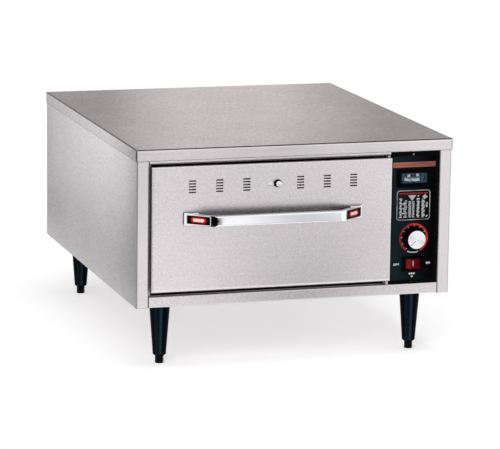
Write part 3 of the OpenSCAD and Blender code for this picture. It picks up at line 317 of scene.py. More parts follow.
class Finish:
    """A material under construction: its node tree and its Principled shader."""

    def __init__(self, name, colour, roughness, metallic=0.0, gloss=0.5):
        self.material = bpy.data.materials.new(name)
        self.material.use_nodes = True
        self.material.diffuse_color = (*colour, 1.0)
        self.tree = self.material.node_tree
        self.shader = self.tree.nodes["Principled BSDF"]
        self.set("Base Color", (*colour, 1.0))
        self.set("Roughness", roughness)
        self.set("Metallic", metallic)
        self.set("Specular IOR Level", gloss)
        self._coords = None

    def node(self, kind, values=(), **settings):
        return add_node(self.tree, kind, values, **settings)

    def set(self, socket, value):
        self.shader.inputs[socket].default_value = value

    def feed(self, socket, output):
        self.tree.links.new(output, self.shader.inputs[socket])

    def show(self, shader):
        """Shows a shader in place of the Principled one."""
        surface = self.tree.nodes["Material Output"].inputs["Surface"]
        self.tree.links.new(shader.outputs[0], surface)

    def coords(self, scale=(1, 1, 1), shift=(0, 0, 0)):
        """Object coordinates, scaled and then shifted."""
        if self._coords is None:
            self._coords = self.node("TexCoord").outputs["Object"]
        values = {"Vector": self._coords, "Location": shift, "Scale": scale}
        return self.node("Mapping", values).outputs["Vector"]

    def axes(self, coords):
        return self.node("SeparateXYZ", {"Vector": coords}).outputs

    def noise(self, scale, detail=2.0, rough=0.5):
        """Noise on Object coordinates, with so many cells a metre along each axis."""
        values = {"Vector": self.coords(scale), "Scale": 1.0, "Detail": detail, "Roughness": rough}
        return self.node("TexNoise", values).outputs["Fac"]

    def spread(self, value, low, high, start=0.25, end=0.75):
        """What lies between start and end, spread between low and high."""
        values = {"Value": value, "From Min": start, "From Max": end, "To Min": low, "To Max": high}
        return self.node("MapRange", values).outputs["Result"]

    def across(self, left, right, low=0.0, high=1.0):
        """Low at the left X, high at the right X, and even between them."""
        return self.spread(self.axes(self.coords())["X"], low, high, left, right)

    def ramp(self, value, stops):
        node = self.node("ValToRGB", {"Fac": value})
        elements = node.color_ramp.elements
        while len(elements) < len(stops):
            elements.new(0.5)
        for element, (at, colour) in zip(elements, stops):
            element.position = at
            element.color = (*colour, 1.0)
        return node.outputs["Color"]

    def tones(self, value, colour, low, high, start=0.3, end=0.7):
        """From a darker to a lighter tone of a colour, as a value goes from start to end."""
        return self.ramp(value, list(zip((start, end), shades(colour, low, high))))

    def math(self, operation, a, b=0.0, clamp=False):
        values = {0: a, 1: b}
        return self.node("Math", values, operation=operation, use_clamp=clamp).outputs["Value"]

    def times(self, a, b, clamp=False):
        return self.math("MULTIPLY", a, b, clamp)

    def size(self, value):
        return self.math("ABSOLUTE", value)

    def mix(self, parts):
        """Weighted sum of several values."""
        total, *rest = [self.times(*part) for part in parts]
        for value in rest:
            total = self.math("ADD", total, value)
        return total

    def normal(self):
        return self.node("NewGeometry").outputs["Normal"]

    def edges(self, radius):
        """The normal, rounded over near every edge."""
        return self.node("Bevel", {"Radius": radius}, samples=4).outputs["Normal"]

    def seams(self, reach=0.004):
        """Painted shade for seams: 0 deep inside a gap narrower than the reach, 1 on open sheet."""
        opening = self.node("AmbientOcclusion", {"Distance": reach}, samples=4).outputs["AO"]
        return self.spread(opening, 0.0, 1.0, 0.30, 0.80)

    def folds(self, normal):
        """1 where the normal lies halfway between two axes, 0 along an axis:
        7.2 (x²y² + y²z² + z²x²), held to 1."""
        parts = self.axes(normal)
        x, y, z = (self.math("POWER", self.size(parts[axis]), 2.0) for axis in "XYZ")
        pairs = [(self.times(a, b), 4.0) for a, b in ((x, y), (y, z), (z, x))]
        return self.times(self.mix(pairs), 1.8, clamp=True)

    def tint(self, colour, value):
        """Base colour: a colour multiplied by a value."""
        scaled = self.node("VectorMath", {0: colour, "Scale": value}, operation="SCALE")
        self.feed("Base Color", scaled.outputs["Vector"])

    def bump(self, height, distance, normal=None):
        values = {"Height": height, "Distance": distance, "Strength": 1.0}
        if normal is not None:
            values["Normal"] = normal
        self.feed("Normal", self.node("Bump", values).outputs["Normal"])


def brushed(name, colour, roughness, grain, run, stretch, fold, spread, speckle, front, top):
    """Brushed sheet: noise drawn out along the brushing in two widths and a fine speckle vary
    the tone, the roughness and a faint relief. Its folds are rounded over and darkened by so
    much, a painted dark reflection, and painted shade darkens it down its seams. Faces along Y
    keep so much of the speckle. Below a top fold a band is brightened as a painted highlight, and
    the turned-down edge along its side is darkened with painted shade. The highlight is drawn out
    across the brushing: its tangent is the normal crossed with the brushing's direction."""
    finish = Finish(name, colour, roughness, 1.0)
    strand = 45.0  # how many times longer than wide a brush line is

    def lines(width):
        scale = [1.0 / width] * 3
        scale["XYZ".index(run)] /= strand
        return finish.noise(scale, 3.0, 0.6)

    coarse, fine = lines(grain), lines(grain * 0.2)
    normal = finish.edges(0.0012 + 0.0008 * fold)
    facing = finish.axes(normal)
    grit = finish.noise(speckle, 2.0, 0.7)
    if front < 1.0:
        keep = finish.spread(finish.size(facing["Y"]), 1.0, front, 0.3, 0.7)
        grit = finish.math("ADD", finish.times(finish.math("SUBTRACT", grit, 0.5), keep), 0.5)
    cloud = finish.noise((6, 6, 6), 2.0, 0.5)
    tone = finish.mix([(coarse, 0.12), (fine, 0.06), (grit, 0.60), (cloud, 0.22)])
    tones = finish.tones(tone, colour, 1 - spread, 1 + spread, 0.38, 0.62)
    # the folds are darkened in the base colour: a painted dark reflection
    shade = finish.math("SUBTRACT", 1.0, finish.times(finish.folds(normal), fold))
    if top is not None:
        # a band just below the top fold is brightened in the base colour: a painted highlight
        depth = finish.math("SUBTRACT", top, finish.axes(finish.coords())["Z"])
        painted_highlight = finish.times(finish.spread(depth, 0.0, 1.0, 0.0012, 0.0020),
                            finish.spread(depth, 1.0, 0.0, 0.0030, 0.0045))
        shade = finish.math("ADD", shade, finish.times(painted_highlight, 0.22))
        # faces that look along X, the turned-down side edge, are darkened: painted shade
        turned = finish.spread(finish.size(facing["X"]), 1.0, 0.86, 0.8, 1.0)
        shade = finish.times(shade, turned)
    # the base colour is darkened down the seams: painted shade
    finish.tint(tones, finish.times(shade, finish.seams(0.006)))
    finish.feed("Roughness", finish.spread(fine, roughness - 0.02, roughness + 0.02))
    finish.bump(finish.mix([(coarse, 0.5), (fine, 0.5)]), 0.000004, normal)
    finish.set("Anisotropic", stretch)
    # a little off its axis, so that no face's normal lies along it
    direction = {"X": (1, 0.02, 0.01), "Y": (0.02, 1, 0.01), "Z": (0.02, 0.01, 1)}[run]
    cross = finish.node("VectorMath", {0: normal, 1: direction}, operation="CROSS_PRODUCT")
    finish.feed("Tangent", cross.outputs["Vector"])
    return finish.material


def plain_sheet(name, colour, roughness=0.42):
    """Rolled sheet: soft cloudy tone and a faint pebble, and painted shade down its seams."""
    finish = Finish(name, colour, roughness, 1.0)
    cloud = finish.noise((18, 18, 18), 4.0, 0.6)
    finish.tint(finish.tones(cloud, colour, 0.93, 1.05), finish.seams())
    finish.feed("Roughness", finish.spread(cloud, roughness - 0.05, roughness + 0.07))
    finish.bump(finish.noise((900, 900, 900)), 0.00001)
    return finish.material


def smooth_coat(name, colour, roughness, gloss=0.5, pebble=0.0):
    """Paint or moulded plastic: cloudy tone and roughness, with a relief of 0.6 mm pebbles
    where one is asked for."""
    finish = Finish(name, colour, roughness, 0.0, gloss)
    cloud = finish.noise((30, 30, 30), 3.0, 0.5)
    finish.feed("Base Color", finish.tones(cloud, colour, 0.9, 1.1))
    finish.feed("Roughness", finish.spread(cloud, max(0.02, roughness - 0.04), roughness + 0.05))
    if pebble:
        finish.bump(finish.noise([1.0 / 0.0006] * 3), pebble)
    return finish.material


def leg_gloss(name, colour):
    """Black gloss with painted highlights in its base colour: the streaks that tall lamps leave
    down a round leg, bright blue on the side that faces the front and fainter round to the left:
    each rises with the cosine between the normal and its direction."""
    finish = Finish(name, colour, 0.35, 0.0, 0.02)
    normal = finish.normal()
    streaks = []
    # degrees round from the front, strength, cosine at its edge
    for angle, strength, edge in ((7, 1.0, 0.972), (37, 0.34, 0.945)):
        turn = math.radians(angle)
        direction = (-math.sin(turn), -math.cos(turn), 0)
        dot = finish.node("VectorMath", {0: normal, 1: direction}, operation="DOT_PRODUCT")
        streaks.append((finish.spread(dot.outputs["Value"], 0.0, 1.0, edge, 0.998), strength))
    cloud = finish.noise((60, 60, 25), 2.0, 0.5)
    value = finish.times(finish.mix(streaks), finish.spread(cloud, 0.75, 1.15), clamp=True)
    dark, middle = shades(colour, 0.05, 0.45)
    finish.feed("Base Color", finish.ramp(value, [(0.0, dark), (0.5, middle), (1.0, colour)]))
    return finish.material


def ring_ink(name, colour, left, right):
    """Printed ink that deepens towards its left side."""
    finish = Finish(name, colour, 0.5, 0.0, 0.2)
    mottle = finish.noise((160, 160, 160), 2.0, 0.5)
    value = finish.mix([(finish.across(left, right), 0.85), (mottle, 0.15)])
    deep = (colour[0] * 0.42, colour[1] * 0.30, colour[2] * 0.6)
    finish.feed("Base Color", finish.ramp(value, [(0.15, deep), (0.62, colour)]))
    return finish.material


def printed_film(name, colour, left, right):
    """Satin film over dark blue, with a painted sheen: it deepens to black from its left edge to
    its right.
    """
    finish = Finish(name, colour, 0.35, 0.0, 0.02)
    cloud = finish.noise((60, 60, 60), 2.0, 0.5)
    value = finish.mix([(finish.across(left, right), 0.85), (cloud, 0.15)])
    middle, deep = shades(colour, 0.42, 0.03)
    finish.feed("Base Color", finish.ramp(value, [(0.12, colour), (0.55, middle), (0.85, deep)]))
    finish.bump(finish.noise((1600, 1600, 1600)), 0.00001)
    return finish.material


def ink_coat(name, colour, cells=700, low=0.88, high=1.08):
    """Screen-printed ink: even tone with the slight mottle of the mesh it was printed through,
    or with wear in patches of fewer cells a metre."""
    finish = Finish(name, colour, 0.5, 0.0, 0.2)
    mottle = finish.noise([cells] * 3, 1.0, 0.5)
    finish.feed("Base Color", finish.tones(mottle, colour, low, high))
    return finish.material


def polished(name, colour, roughness=0.06, back=1.0, upper=1.0):
    """Plated metal with a faint wipe pattern in its roughness. Faces that look along +Y
    are darkened to so much of the colour, and those that look up to so much: painted shade
    for the dark they reflect."""
    finish = Finish(name, colour, roughness, 1.0)
    # painted shade by the way a face looks, back or up
    if back < 1.0:
        facing = finish.axes(finish.normal())
        rear = finish.spread(facing["Y"], 0.0, 1.0, 0.15, 0.5)
        plate = finish.ramp(rear, [(0.0, colour), (1.0, tuple(c * back for c in colour))])
        finish.tint(plate, finish.spread(facing["Z"], 1.0, upper, 0.75, 0.97))
    wipe = finish.noise((40, 120, 260), 3.0, 0.6)
    finish.feed("Roughness", finish.spread(wipe, max(0.02, roughness - 0.02), roughness + 0.03))
    finish.bump(finish.noise((60, 60, 60)), 0.00001)
    return finish.material


def spun(name, colour, centre, roughness=0.34):
    """Spun cap: a painted fan of highlight and shade in its base colour round its own axis along
    Y, |sin(angle + 0.4)|, and fine rings."""
    finish = Finish(name, colour, roughness, 0.55, 0.4)
    parts = finish.axes(finish.coords(shift=tuple(-c for c in centre)))
    x2, z2 = (finish.math("POWER", parts[axis], 2.0) for axis in "XZ")
    radius = finish.math("SQRT", finish.math("ADD", x2, z2))
    angle = finish.math("ARCTAN2", parts["Z"], parts["X"])
    fan = finish.size(finish.math("SINE", finish.math("ADD", angle, 0.4)))
    finish.feed("Base Color", finish.tones(fan, colour, 0.86, 1.05, 0.05, 0.75))
    finish.bump(finish.math("SINE", finish.times(radius, 9000.0)), 0.000001)
    return finish.material


def fibre_board(name, colour):
    """Pressed fibre: matted strands in tone and relief."""
    finish = Finish(name, colour, 0.95, 0.0, 0.2)
    strands = finish.noise((300, 90, 300), 6.0, 0.7)
    finish.feed("Base Color", finish.tones(strands, colour, 0.75, 1.08))
    finish.bump(strands, 0.0006)
    return finish.material


def clear_pane(name):
    """Thin clear window: mostly let through, with a faint smeared gloss."""
    finish = Finish(name, (0.02, 0.03, 0.04), 0.08, 0.0, 0.5)
    finish.set("Alpha", 0.06)
    finish.feed("Roughness", finish.spread(finish.noise((60, 60, 60)), 0.04, 0.14))
    return finish.material


def rocker_red(name, colour, middle_x):
    """Moulded translucent rocker, mottled by the ribs behind it, with light and shade painted
    across its halves: brightest in the middle of its left half, dark beside the valley, and
    paling off to dark across its right half."""
    finish = Finish(name, colour, 0.4, 0.0, 0.05)
    half = 0.0155
    place = finish.axes(finish.coords(shift=(-middle_x, 0, 0)))["X"]
    # painted light on the left half, painted shade beside the valley and across the right half
    deep = [tuple(c * part for c in colour) for part in (0.32, 0.90, 0.78, 0.28, 0.20)]
    dim = [(colour[0] * part, 0.0008, 0.0012) for part in (0.34, 0.27, 0.12, 0.04)]
    stops = zip((0.05, 0.14, 0.31, 0.41, 0.49, 0.60, 0.70, 0.86, 0.97), deep + dim)
    tones = finish.ramp(finish.spread(place, 0.0, 1.0, -half, half), list(stops))
    mottle = finish.noise((260, 260, 200), 2.0, 0.6)
    finish.tint(tones, finish.spread(mottle, 0.40, 1.60, 0.36, 0.64))
    return finish.material


def band_ink(name, colour, left, right):
    """Band of fine lines: paler and darker threads along X, paling off from left to right."""
    finish = Finish(name, colour, 0.5, 0.0, 0.2)
    threads = finish.noise((25, 1, 900), 2.0, 0.5)
    value = finish.mix([(threads, 1.0), (finish.across(left, right, 0.30, -0.30), 0.6)])
    dark, light = shades(colour, 0.50, 1.65)
    finish.feed("Base Color", finish.ramp(value, [(0.15, dark), (0.5, colour), (0.85, light)]))
    return finish.material


# the nodes that carry each finish
NODE_FINISH = {
    "Cover Steel": ["top_cover"],
    "Front Steel": ["front_header", "drawer_front_skin"],
    "Base Steel": ["bottom_panel"],
    "Pan Steel": ["food_pan"],
    "Side Steel": ["left_side_panel", "right_side_panel"],
    "Plain Sheet": [
        "back_panel", "control_divider", "cavity_liner", "panel_brackets", "back_screws",
        "thermostat_body", "thermostat_shaft", "element_brackets", "case_slides",
        "drawer_slides", "drawer_front_back", "drawer_side_left", "drawer_side_right",
        "drawer_cross_bars", "slide_studs", "handle_screws", "leg_studs"],
    "Fibre": [
        "insulation_left", "insulation_right", "insulation_top", "insulation_bottom",
        "insulation_back", "front_insulation"],
    "Panel Black": ["control_panel", "panel_screws"],
    "Panel Film": ["panel_film"],
    "Moulded Black": [
        "thermometer_case", "thermometer_bezel", "thermostat_knob", "switch_housing",
        "terminal_block", "cord_inlet", "vent_knob"],
    "Foot Black": ["foot_front_left", "foot_front_right", "foot_rear_left", "foot_rear_right"],
    "Leg Gloss": ["leg_set"],
    "Plate Black": ["handle_plates"],
    "Chrome": ["handle"],
    "Bright Sheet": ["vent_slide"],
    "Spun Cap": ["knob_cap"],
    "Dial Blue": ["thermometer_dial"],
    "Clear Pane": ["thermometer_lens"],
    "Needle Red": ["thermometer_needle"],
    "Rocker Red": ["switch_rocker"],
    "Element Sheath": ["heating_element"],
    "Copper": ["thermostat_bulb"],
    "Nylon": ["case_roller_left", "case_roller_right", "drawer_roller_left", "drawer_roller_right"],
}


def dress(material):
    """Gives a material to the nodes listed under its name."""
    for node in NODE_FINISH[material.name]:
        mesh = frame["nodes"][node].data
        mesh.materials.clear()
        mesh.materials.append(material)


class WarmerOperator:
    bl_options = {"REGISTER", "UNDO"}

    @property
    def steel(self):
        return bpy.context.scene.warmer_steel

    @property
    def printing(self):
        return bpy.context.scene.warmer_print

    @property
    def studio(self):
        return bpy.context.scene.warmer_studio

    def film_back(self):
        """The plane that the panel's print starts from, a hair inside the film."""
        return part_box("panel_film")[0].y + 0.01 * MM

    def print_on_film(self, name, parts, material):
        make_object(name, *joined(*parts), material, "case", "film")


class WARMER_OT_case_finish(WarmerOperator, bpy.types.Operator):
    """Finish the sheet metal of the case and the drawer, and what it encloses"""

    bl_idname = "warmer.case_finish"
    bl_label = "Case Finish"

    def execute(self, context):
        steel = self.steel
        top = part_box("top_cover")[1].z
        # name, share of the colour (lighter and darker copies of one steel: painted light and shade
        # for how light falls on each sheet), brushing, folds darkened with a painted dark
        # reflection, spread of tone, speckle in cells a metre, its share on the front, height of
        # the top fold
        for name, share, run, *look in (
            ("Cover Steel", 1.00, "X", 0.94, 0.17, (300, 70, 300), 0.15, top),
            ("Front Steel", 1.06, "X", 0.0, 0.092, (300, 300, 300), 1.0, None),
            ("Base Steel", 0.99, "X", 0.0, 0.092, (300, 300, 300), 1.0, None),
            ("Side Steel", 1.03, "Y", 0.6, 0.11, (300, 90, 300), 0.15, None),
        ):
            colour = tuple(part * share for part in steel.case_colour)
            sheet = name, colour, steel.roughness, steel.grain, run, steel.stretch
            dress(brushed(*sheet, *look))
        dress(plain_sheet("Plain Sheet", tuple(steel.plain_colour)))
        dress(plain_sheet("Pan Steel", (0.64, 0.635, 0.64), 0.28))
        dress(fibre_board("Fibre", (0.76, 0.73, 0.66)))
        dress(plain_sheet("Element Sheath", (0.16, 0.135, 0.12), 0.5))
        dress(plain_sheet("Copper", (0.62, 0.30, 0.16), 0.3))
        dress(smooth_coat("Nylon", (0.80, 0.80, 0.77), 0.45))
        return {"FINISHED"}


class WARMER_OT_trim_finish(WarmerOperator, bpy.types.Operator):
    """Finish the legs, the feet, the handle and the vent knob"""

    bl_idname = "warmer.trim_finish"
    bl_label = "Trim Finish"

    def execute(self, context):
        # the colour of the painted highlight streaks down the legs
        dress(leg_gloss("Leg Gloss", (0.0200, 0.0460, 0.0800)))
        dress(smooth_coat("Foot Black", (0.0015, 0.0016, 0.0020), 0.4, 0.06, pebble=0.00004))
        dress(smooth_coat("Plate Black", (0.0012, 0.0012, 0.0015), 0.25, gloss=0.05))
        # the handle's faces that look back or up carry painted shade
        dress(polished("Chrome", (0.885, 0.90, 0.935), 0.04, back=0.03, upper=0.42))
        dress(plain_sheet("Bright Sheet", (0.88, 0.88, 0.89), 0.3))
        return {"FINISHED"}


class WARMER_OT_control_finish(WarmerOperator, bpy.types.Operator):
    """Finish the control panel and what is mounted on it"""

    bl_idname = "warmer.control_finish"
    bl_label = "Control Finish"

    def execute(self, context):
        dress(smooth_coat("Panel Black", (0.0010, 0.0010, 0.0012), 0.45, gloss=0.04))
        low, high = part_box("panel_film")
        dress(printed_film("Panel Film", (0.0105, 0.0200, 0.0250), low.x, high.x))
        dress(smooth_coat("Moulded Black", (0.0004, 0.0007, 0.0010), 0.4, 0.03, pebble=0.00003))
        dress(smooth_coat("Dial Blue", (0.066, 0.150, 0.215), 0.5, gloss=0.1))
        dress(clear_pane("Clear Pane"))
        dress(smooth_coat("Needle Red", (0.016, 0.004, 0.005), 0.4, gloss=0.1))
        dress(spun("Spun Cap", (0.93, 0.93, 0.95), middle_of("knob_cap")))
        dress(rocker_red("Rocker Red", (0.32, 0.008, 0.018), middle_of("switch_housing").x))
        return {"FINISHED"}


class WARMER_OT_panel_band(WarmerOperator, bpy.types.Operator):
    """Print the plain band across the top of the film"""

    bl_idname = "warmer.panel_band"
    bl_label = "Panel Band"

    def execute(self, context):
        low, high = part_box("panel_film")
        lines, pitch, gap, inset, below_top = 6, 1.55 * MM, 0.12 * MM, 0.4 * MM, 15.0 * MM
        ink = band_ink("Band Ink", tuple(self.printing.band_colour), low.x, high.x)
        z = high.z - below_top + (np.arange(lines) - (lines - 1) / 2) * pitch
        centres = np.stack([np.full(lines, (low.x + high.x) / 2), z], 1)
        sizes = np.full((lines, 2), [high.x - low.x - 2 * inset, pitch - gap])
        band_lines = plates(centres, sizes, 0.0, self.film_back(), self.printing.ink)
        self.print_on_film("panel_band", [band_lines], ink)
        return {"FINISHED"}


class WARMER_OT_panel_card(WarmerOperator, bpy.types.Operator):
    """Print the framed card of plain marks below the thermometer"""

    bl_idname = "warmer.panel_card"
    bl_label = "Panel Card"

    # columns of marks, in mm from the middle of the card: left, right, top, bottom, pitch and
    # height of a mark
    COLUMNS = (
        (-26.7, -21.6, 11.8, -22.2, 2.75, 1.45), (-21.4, -17.2, 2.6, -21.0, 8.6, 1.5),
        (-18.6, -12.0, 7.9, -22.6, 3.6, 1.5), (-9.8, -3.9, 7.0, -22.0, 1.5, 0.75),
        (-2.7, 2.3, 6.6, -22.0, 1.5, 0.75), (6.0, 11.6, 6.6, -23.4, 2.35, 1.5),
        (15.2, 21.6, 7.4, -23.0, 2.45, 1.5), (23.0, 27.0, 3.5, -3.7, 2.4, 1.3),
        (23.0, 27.0, -19.8, -22.5, 2.0, 1.2),
    )
    # a small sign and an outline figure: x, z, width and height in mm, and turn in degrees
    SIGNS = (
        (8.8, 16.2, 2.6, 1.8, 0), (8.7, 11.0, 5.6, 2.1, 0), (19.6, 16.0, 6.4, 1.5, 38),
        (22.9, 16.4, 5.6, 1.5, -52), (23.3, 12.8, 6.4, 1.5, 38), (20.0, 12.4, 5.6, 1.5, -52),
        (21.5, 14.4, 2.6, 2.0, 38), (17.2, 10.2, 2.6, 1.2, 0),
    )

    def column(self, index, left, right, top, bottom, pitch, height):
        """Marks down a column: their ends move in by the cosine of the row, and their
        middles by its sine."""
        row = np.arange(int((top - bottom) / pitch) + 1)
        width = (right - left) * (0.78 + 0.22 * np.cos(row * (2.1 + 0.37 * index) + index * 1.3))
        x = (left + right) / 2 + (right - left - width) / 2 * np.sin(row * 1.9 + index)
        return np.column_stack([x, top - row * pitch, width, np.full(len(row), height)])

    def heading(self, dashes=13):
        """Dashes in a row, whose heights vary by the cosine of their place."""
        height = 2.2 + 0.35 * np.cos(np.arange(dashes) * 2.1)
        x = np.linspace(-24.6, 24.6, dashes)
        return np.column_stack([x, np.full(dashes, 21.1), np.full(dashes, 3.5), height])

    def funnel(self, lines=6):
        """Lines that shrink downwards."""
        step = np.arange(lines)
        across, height = np.full(lines, -2.6), np.full(lines, 1.0)
        return np.column_stack([across, 17.2 - 1.55 * step, 14.2 - 2.3 * step, height])

    def execute(self, context):
        dial = middle_of("thermometer_bezel")
        centre = np.array([dial.x - 0.2 * MM, dial.z - 48.9 * MM])
        on_card = centre, self.film_back(), self.printing.ink
        white, red = tuple(self.printing.white), tuple(self.printing.red)
        pale = ink_coat("Card White", shades(white, 0.92, 1)[0])
        grey = ink_coat("Card Grey", shades(white, 0.60, 1)[0], 42, 0.40, 1.45)
        warning = ink_coat("Card Red", shades(red, 0.55, 1)[0])

        line = round_path(61.5 * MM, 52.6 * MM, 4.5 * MM, centre)
        self.print_on_film("card_frame", [band(line, 1.15 * MM, *on_card[1:], closed=True)], grey)
        self.print_on_film("card_heading", [marks(self.heading(), *on_card)], warning)
        parts = [marks(self.column(i, *column), *on_card) for i, column in enumerate(self.COLUMNS)]
        parts.append(marks(self.funnel(), *on_card))
        turns = np.radians([sign[4] for sign in self.SIGNS])
        parts.append(marks(self.SIGNS, *on_card, turns))
        self.print_on_film("card_marks", parts, pale)
        return {"FINISHED"}


class WARMER_OT_dial_ring(WarmerOperator, bpy.types.Operator):
    """Print the open ring, its ticks and the line below the knob"""

    bl_idname = "warmer.dial_ring"
    bl_label = "Dial Ring"

    def execute(self, context):
        setting = self.printing
        hub = middle_of("thermostat_knob")
        centre, back, ink = (hub.x, hub.z), self.film_back(), setting.ink
        width, down = setting.ring_width, -92.3  # degrees, the middle of the gap
        radius = (setting.ring_diameter - width) / 2
        half = math.degrees(setting.ring_gap) / 2
        start, end = down + half, down + 360 - half
        red = ring_ink("Ring Ink", tuple(setting.red), hub.x - radius, hub.x + radius)
        ring = band(arc_path(radius, start, end, centre, 120), width, back, ink)
        self.print_on_film("dial_ring", [ring], red)

        ticks = radial(setting.ticks, start + 3, end - 3, radius - width / 2 - 1.0 * MM,
                       [1.8, 1.3], centre, back, ink)
        line = band(arc_path(26 * MM, -116, -70, centre, 24), 2.1 * MM, back, ink)
        pale = ink_coat("Tick Ink", shades(tuple(setting.white), 0.80, 1)[0])
        self.print_on_film("dial_marks", [ticks, line], pale)
        return {"FINISHED"}


class WARMER_OT_knob_pointer(WarmerOperator, bpy.types.Operator):
    """Fill the pointer groove of the knob's cap with dark paint"""

    bl_idname = "warmer.knob_pointer"
    bl_label = "Knob Pointer"

    def execute(self, context):
        low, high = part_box("knob_cap")
        hub, radius = middle_of("knob_cap"), (high.x - low.x) / 2
        outer, inner, turn = radius - 2.0 * MM, 2.5 * MM, 225
        size = (outer - inner) / MM - 0.1, 0.98
        # the groove is 0.4 mm deep
        fill = radial(1, turn, turn, (outer + inner) / 2, size, (hub.x, hub.z),
                      low.y + 0.42 * MM, 0.28 * MM)
        paint = smooth_coat("Pointer Paint", (0.035, 0.036, 0.040), 0.5, 0.2)
        make_object("knob_pointer", *fill, paint, "thermostat", "black_plastic")
        return {"FINISHED"}


class WARMER_OT_switch_words(WarmerOperator, bpy.types.Operator):
    """Print OFF and ON beside the switch and plain marks below it"""

    bl_idname = "warmer.switch_words"
    bl_label = "Switch Words"

    # strokes of each letter, as points in a box one wide and one high
    STROKES = {
        "F": [((0, 0), (0, 1)), ((0, 1), (1, 1)), ((0, 0.5), (0.8, 0.5))],
        "N": [((0, 0), (0, 1)), ((0, 1), (1, 0)), ((1, 0), (1, 1))],
    }

    # each word, and its middle in mm from the switch's
    WORDS = (("OFF", (-31.3, -0.7)), ("ON", (28.3, 0.0)))
    BELOW = (
        (-5.9, -18.1, 3.2, 2.6), (-2.0, -18.1, 3.4, 2.8), (2.2, -18.1, 3.4, 2.6),
        (-2.4, -23.3, 1.5, 3.0), (-0.6, -23.3, 1.5, 2.6),
    )

    def execute(self, context):
        hub = middle_of("switch_housing")
        hub = np.array([hub.x, hub.z])
        back, ink = self.film_back(), self.printing.ink
        size, gap, stroke = np.array([2.5, 3.0]) * MM, 1.3 * MM, 1.1 * MM

        def letter(sign, corner):
            if sign == "O":
                line = round_path(*size, 1.1 * MM, corner + size / 2)
                return [band(line, stroke, back, ink, closed=True)]
            lines = [np.array(ends) * size + corner for ends in self.STROKES[sign]]
            return [band(line, stroke, back, ink) for line in lines]

        parts = []
        for word, middle in self.WORDS:
            span = np.array([len(word) * (size[0] + gap) - gap, size[1]])
            corner = hub + np.array(middle) * MM - span / 2
            for i, sign in enumerate(word):
                parts += letter(sign, corner + (i * (size[0] + gap), 0))
        parts.append(marks(self.BELOW, hub, back, ink))
        self.print_on_film("switch_words", parts, ink_coat("Word Ink", tuple(self.printing.white)))
        return {"FINISHED"}


class WARMER_OT_thermometer_print(WarmerOperator, bpy.types.Operator):
    """Print the scale of the thermometer on its dial"""

    bl_idname = "warmer.thermometer_print"
    bl_label = "Thermometer Scale"

    # x, z, width and height in mm from the middle of the window
    DIGITS = (
        (-9.8, 3.4, 2.6, 4.8), (-7.2, 3.6, 2.4, 4.6), (6.6, 4.6, 2.4, 4.6), (9.0, 4.6, 2.0, 4.6),
    )
    ENDS = ((-20.6, -5.4, 2.4, 3.0), (19.6, -3.6, 2.4, 3.6))
    PATCHES = (
        (-14.6, 1.0, 1.0, 12.0), (13.4, 0.5, 2.2, 13.0), (21.4, 1.5, 2.0, 12.0),
        (0, 3.4, 9.5, 3.6),
    )

    def execute(self, context):
        pane = middle_of("thermometer_lens")
        centre = np.array([pane.x, pane.z])
        back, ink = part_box("thermometer_dial")[0].y + 0.01 * MM, self.printing.ink
        # a shallow arc that hangs from a point above the window, with ticks along its top
        pivot = centre + (0, 66.0 * MM)
        scale = band(arc_path(70.5 * MM, -103.5, -80.5, pivot, 40), 4.8 * MM, back, ink)
        ticks = radial(8, -103, -81, 66.8 * MM, [1.6, 0.8], pivot, back, ink)
        digits, ends = (marks(rows, centre, back, ink) for rows in (self.DIGITS, self.ENDS))
        patches = marks(self.PATCHES, centre, back + 0.03 * MM, ink)
        for name, parts, finish, colour in (
            ("scale", [scale], "Blue", (0.76, 0.97, 1.0)),
            ("digits", [ticks, digits], "White", (0.92, 0.98, 1.0)),
            ("ends", [ends], "Red", (0.20, 0.03, 0.04)),
            ("patches", [patches], "Patch", (0.016, 0.034, 0.052)),
        ):
            paint = ink_coat("Scale " + finish, colour)
            make_object("thermometer_" + name, *joined(*parts), paint, "case", "dial")
        return {"FINISHED"}


class WARMER_OT_switch_line(WarmerOperator, bpy.types.Operator):
    """Set the pale line, a painted highlight, into the valley of the rocker, and a painted glint
    below it
    """

    bl_idname = "warmer.switch_line"
    bl_label = "Switch Highlight"

    def execute(self, context):
        joints = {joint["name"]: joint for joint in frame["record"]["behaviour"]["joints"]}
        pin = np.array(joints["rocker_tilt"]["pos_m"])
        turn = np.array(Matrix.Rotation(math.radians(-9), 3, "Z"))
        # in the rocker's own frame its valley lies 5.4 mm in front of the pin, and the line
        # stands 5.75 mm in front of it
        # both pieces are painted highlights on the rocker
        for name, row, colour in (
            ("switch_highlight", (0.0, 1.2, 2.2, 8.6), (0.40, 0.43, 0.53)),
            ("switch_glint", (-0.2, -4.9, 3.0, 2.6), (0.34, 0.035, 0.075)),
        ):
            verts, faces = marks([row], (0, 0), -5.0 * MM, 0.75 * MM)
            paint = ink_coat(name.replace("_", " ").title(), colour)
            make_object(name, verts @ turn.T + pin, faces, paint, "rocker", "red")
        return {"FINISHED"}


class WARMER_OT_vent_face(WarmerOperator, bpy.types.Operator):
    """Set the bright domed face into the front of the vent knob"""

    bl_idname = "warmer.vent_face"
    bl_label = "Vent Face"

    def execute(self, context):
        centre, front = middle_of("vent_knob"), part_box("vent_knob")[0].y
        outline = arc_path(5.05 * MM, 0, 345, (0, 0), 24)
        origin = np.array([centre.x, front + 0.15 * MM, centre.z])
        across, back, up = np.eye(3)
        dome = pillow(outline, origin, across, up, -back, 0.9 * MM)
        bright = polished("Vent Face", (0.86, 0.86, 0.87), 0.12)
        make_object("vent_face", *dome, bright, "vent", "chrome", True)
        return {"FINISHED"}


